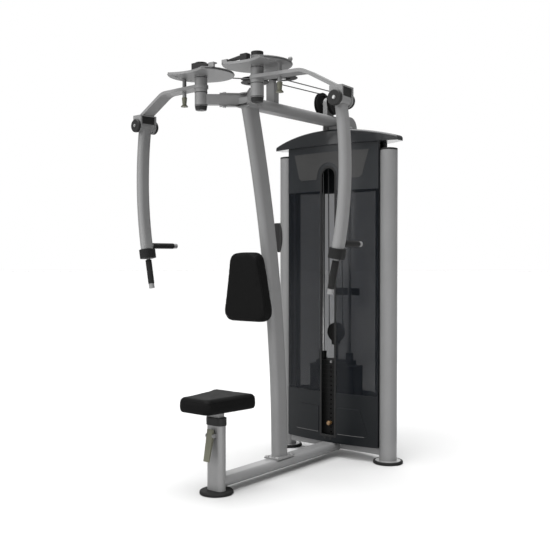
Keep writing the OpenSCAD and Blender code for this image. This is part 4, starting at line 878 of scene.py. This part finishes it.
welt_r, seat_welt_drop, back_welt_rise = 0.0018, 0.010, 0.020
lean = math.radians(2)
pad_face = Vector((0, -math.cos(lean), -math.sin(lean)))
seat = pumped("seat_pad", "seat", (0, 0, 1), shrink=0.002, cap=0.005)
seat_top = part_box("seat_pad")[1].z
back = pumped("back_pad", "frame", pad_face, shrink=0.002, cap=0.005)
welt(seat, "seat_welt", "seat", (0, 0, seat_top - seat_welt_drop), (0, 0, 1), welt_r)
back_low, back_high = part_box("back_pad")
back_middle = (back_low + back_high) / 2
welt(back, "back_welt", "frame", back_middle + pad_face * back_welt_rise, pad_face, welt_r)


# Cams and arms
# Each cam is a thick plate cut to its profile with a hub on top; the arm is a flat bar bent down
# to a clevis. The forearm is a curved oval tube with a barrel at its top, held by an elbow pin with
# a zinc plated bolt at each end.
elbow_x, elbow_y, elbow_z, elbow_skew = 0.6193, -0.3629, 1.801, math.radians(5)
ring_r, ring_heights = 0.0300, (2.0495, 1.9940)
for side, hand in (("right", 1), ("left", -1)):
    for part, body, finish, slot, round_over, steps in (
            ("_cam", "_cam_set", silver_paint, "grey_paint", 0.002, 3),
            ("_cam_trim", "_cam_set", black_moulding, "black_plastic", 0.002, 3),
            ("_arm", "_upper_arm", silver_paint, "grey_paint", 0.002, 3),
            ("_elbow_trim", "_upper_arm", black_moulding, "black_plastic", 0.002, 3),
            ("_forearm", "_lower_arm", silver_paint, "grey_paint", 0.0015, 2),
            ("_grips", "_lower_arm", black_rubber, "black_rubber", 0.003, 3)):
        dressed(side + part, side + body, finish, slot, round_over, steps)
    elbow = Vector((hand * elbow_x, elbow_y, elbow_z))
    along = Vector((-hand * math.sin(elbow_skew), math.cos(elbow_skew), 0))
    caps = frame["nodes"][side + "_elbow_trim"].data.vertices
    reach = max((v.co - elbow).dot(along) for v in caps)
    ends = [(elbow + along * reach * end * 0.99, along * end) for end in (-1, 1)]
    coated(set_out(screw, ends, side + "_elbow_bolts"), side + "_upper_arm", zinc, "zinc")
    bead(side + "_hub_ring", side + "_cam_set", black_moulding, "black_plastic", [
        [(hand * pivot_x + ring_r * math.cos(t), pivot_y + ring_r * math.sin(t), z)
         for t in turns] for z in ring_heights], radius=0.0014, ripple=0)


# Lever and index pins
# Index pins with knobs, olive all along, and the seat's lever: a channel moulded in olive plastic,
# open to the post, which turns on a pin between two ears.
olive = Finish("olive_lever", Specular_IOR_Level=0.35)
mottle = olive.noise(50.0, 4.0)
olive.set(
    Base_Color=olive.blend(mottle, (0.074, 0.074, 0.053, 1), (0.096, 0.096, 0.069, 1)),
    Roughness=0.42 + mottle * 0.14)
olive.bump(olive.noise(800.0), 0.15, 0.0003)
for side in ("right", "left"):
    dressed(side + "_pop_pin", side + "_index_pin", olive, "olive", round_over=0.0012)

lever_size, lever_middle = (0.0354, 0.016, 0.151), (0, 0.001, -0.0455)
lever_pivot, lever_lean = (0, -0.5335, 0.280), math.radians(-10.5)
drill_r, drill_long = 0.0045, 0.06
flank_wall, flank_top, flank_low, margin = 0.0028, 0.008, -0.020, 0.001
top_rim_y, low_rim_y, hollow_y = 0.001, -0.002, -0.0038
ready()
bpy.ops.mesh.primitive_cube_add(size=1, location=lever_middle)
lever = bpy.context.object
lever.name = "seat_lever.made"
lever.scale = lever_size
bpy.ops.object.transform_apply(location=True, scale=True)
opened(lever)
for height in (flank_top, flank_low):
    bpy.ops.mesh.select_all(action="SELECT")
    bpy.ops.mesh.bisect(plane_co=(0, 0, height), plane_no=(0, 0, 1))
bpy.ops.object.mode_set(mode="OBJECT")
for v in lever.data.vertices:
    if v.co.y > 0 and v.co.z > flank_top + margin:
        v.co.y = top_rim_y
    elif v.co.y > 0 and v.co.z < flank_low - margin:
        v.co.y = low_rim_y
pick(lever, lambda at, out: out.y > 0.5)
bpy.ops.mesh.inset(thickness=flank_wall)
bpy.ops.mesh.extrude_region_move()
channel = bmesh.from_edit_mesh(lever.data)
for v in channel.verts:
    if v.select:
        v.co.y = hollow_y
bmesh.update_edit_mesh(lever.data)
bpy.ops.object.mode_set(mode="OBJECT")
modified(lever, "BEVEL", width=0.0008, segments=2, limit_method="ANGLE")
ready()
bpy.ops.mesh.primitive_cylinder_add(
    vertices=40, radius=drill_r, depth=drill_long, rotation=(0, math.radians(90), 0))
drill = bpy.context.object
modified(lever, "BOOLEAN", operation="DIFFERENCE", object=drill)
bpy.data.objects.remove(drill)
lever.data.transform(Matrix.Translation(lever_pivot) @ Matrix.Rotation(lever_lean, 4, "X"))
coated(lever, "lever", olive, "olive", "seat_lever")


# Size
# The models that the bolts and screws were copied from are removed. Then the box of the finished
# machine is measured.
for model in (bolt, screw):
    bpy.data.objects.remove(model)
low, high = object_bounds()
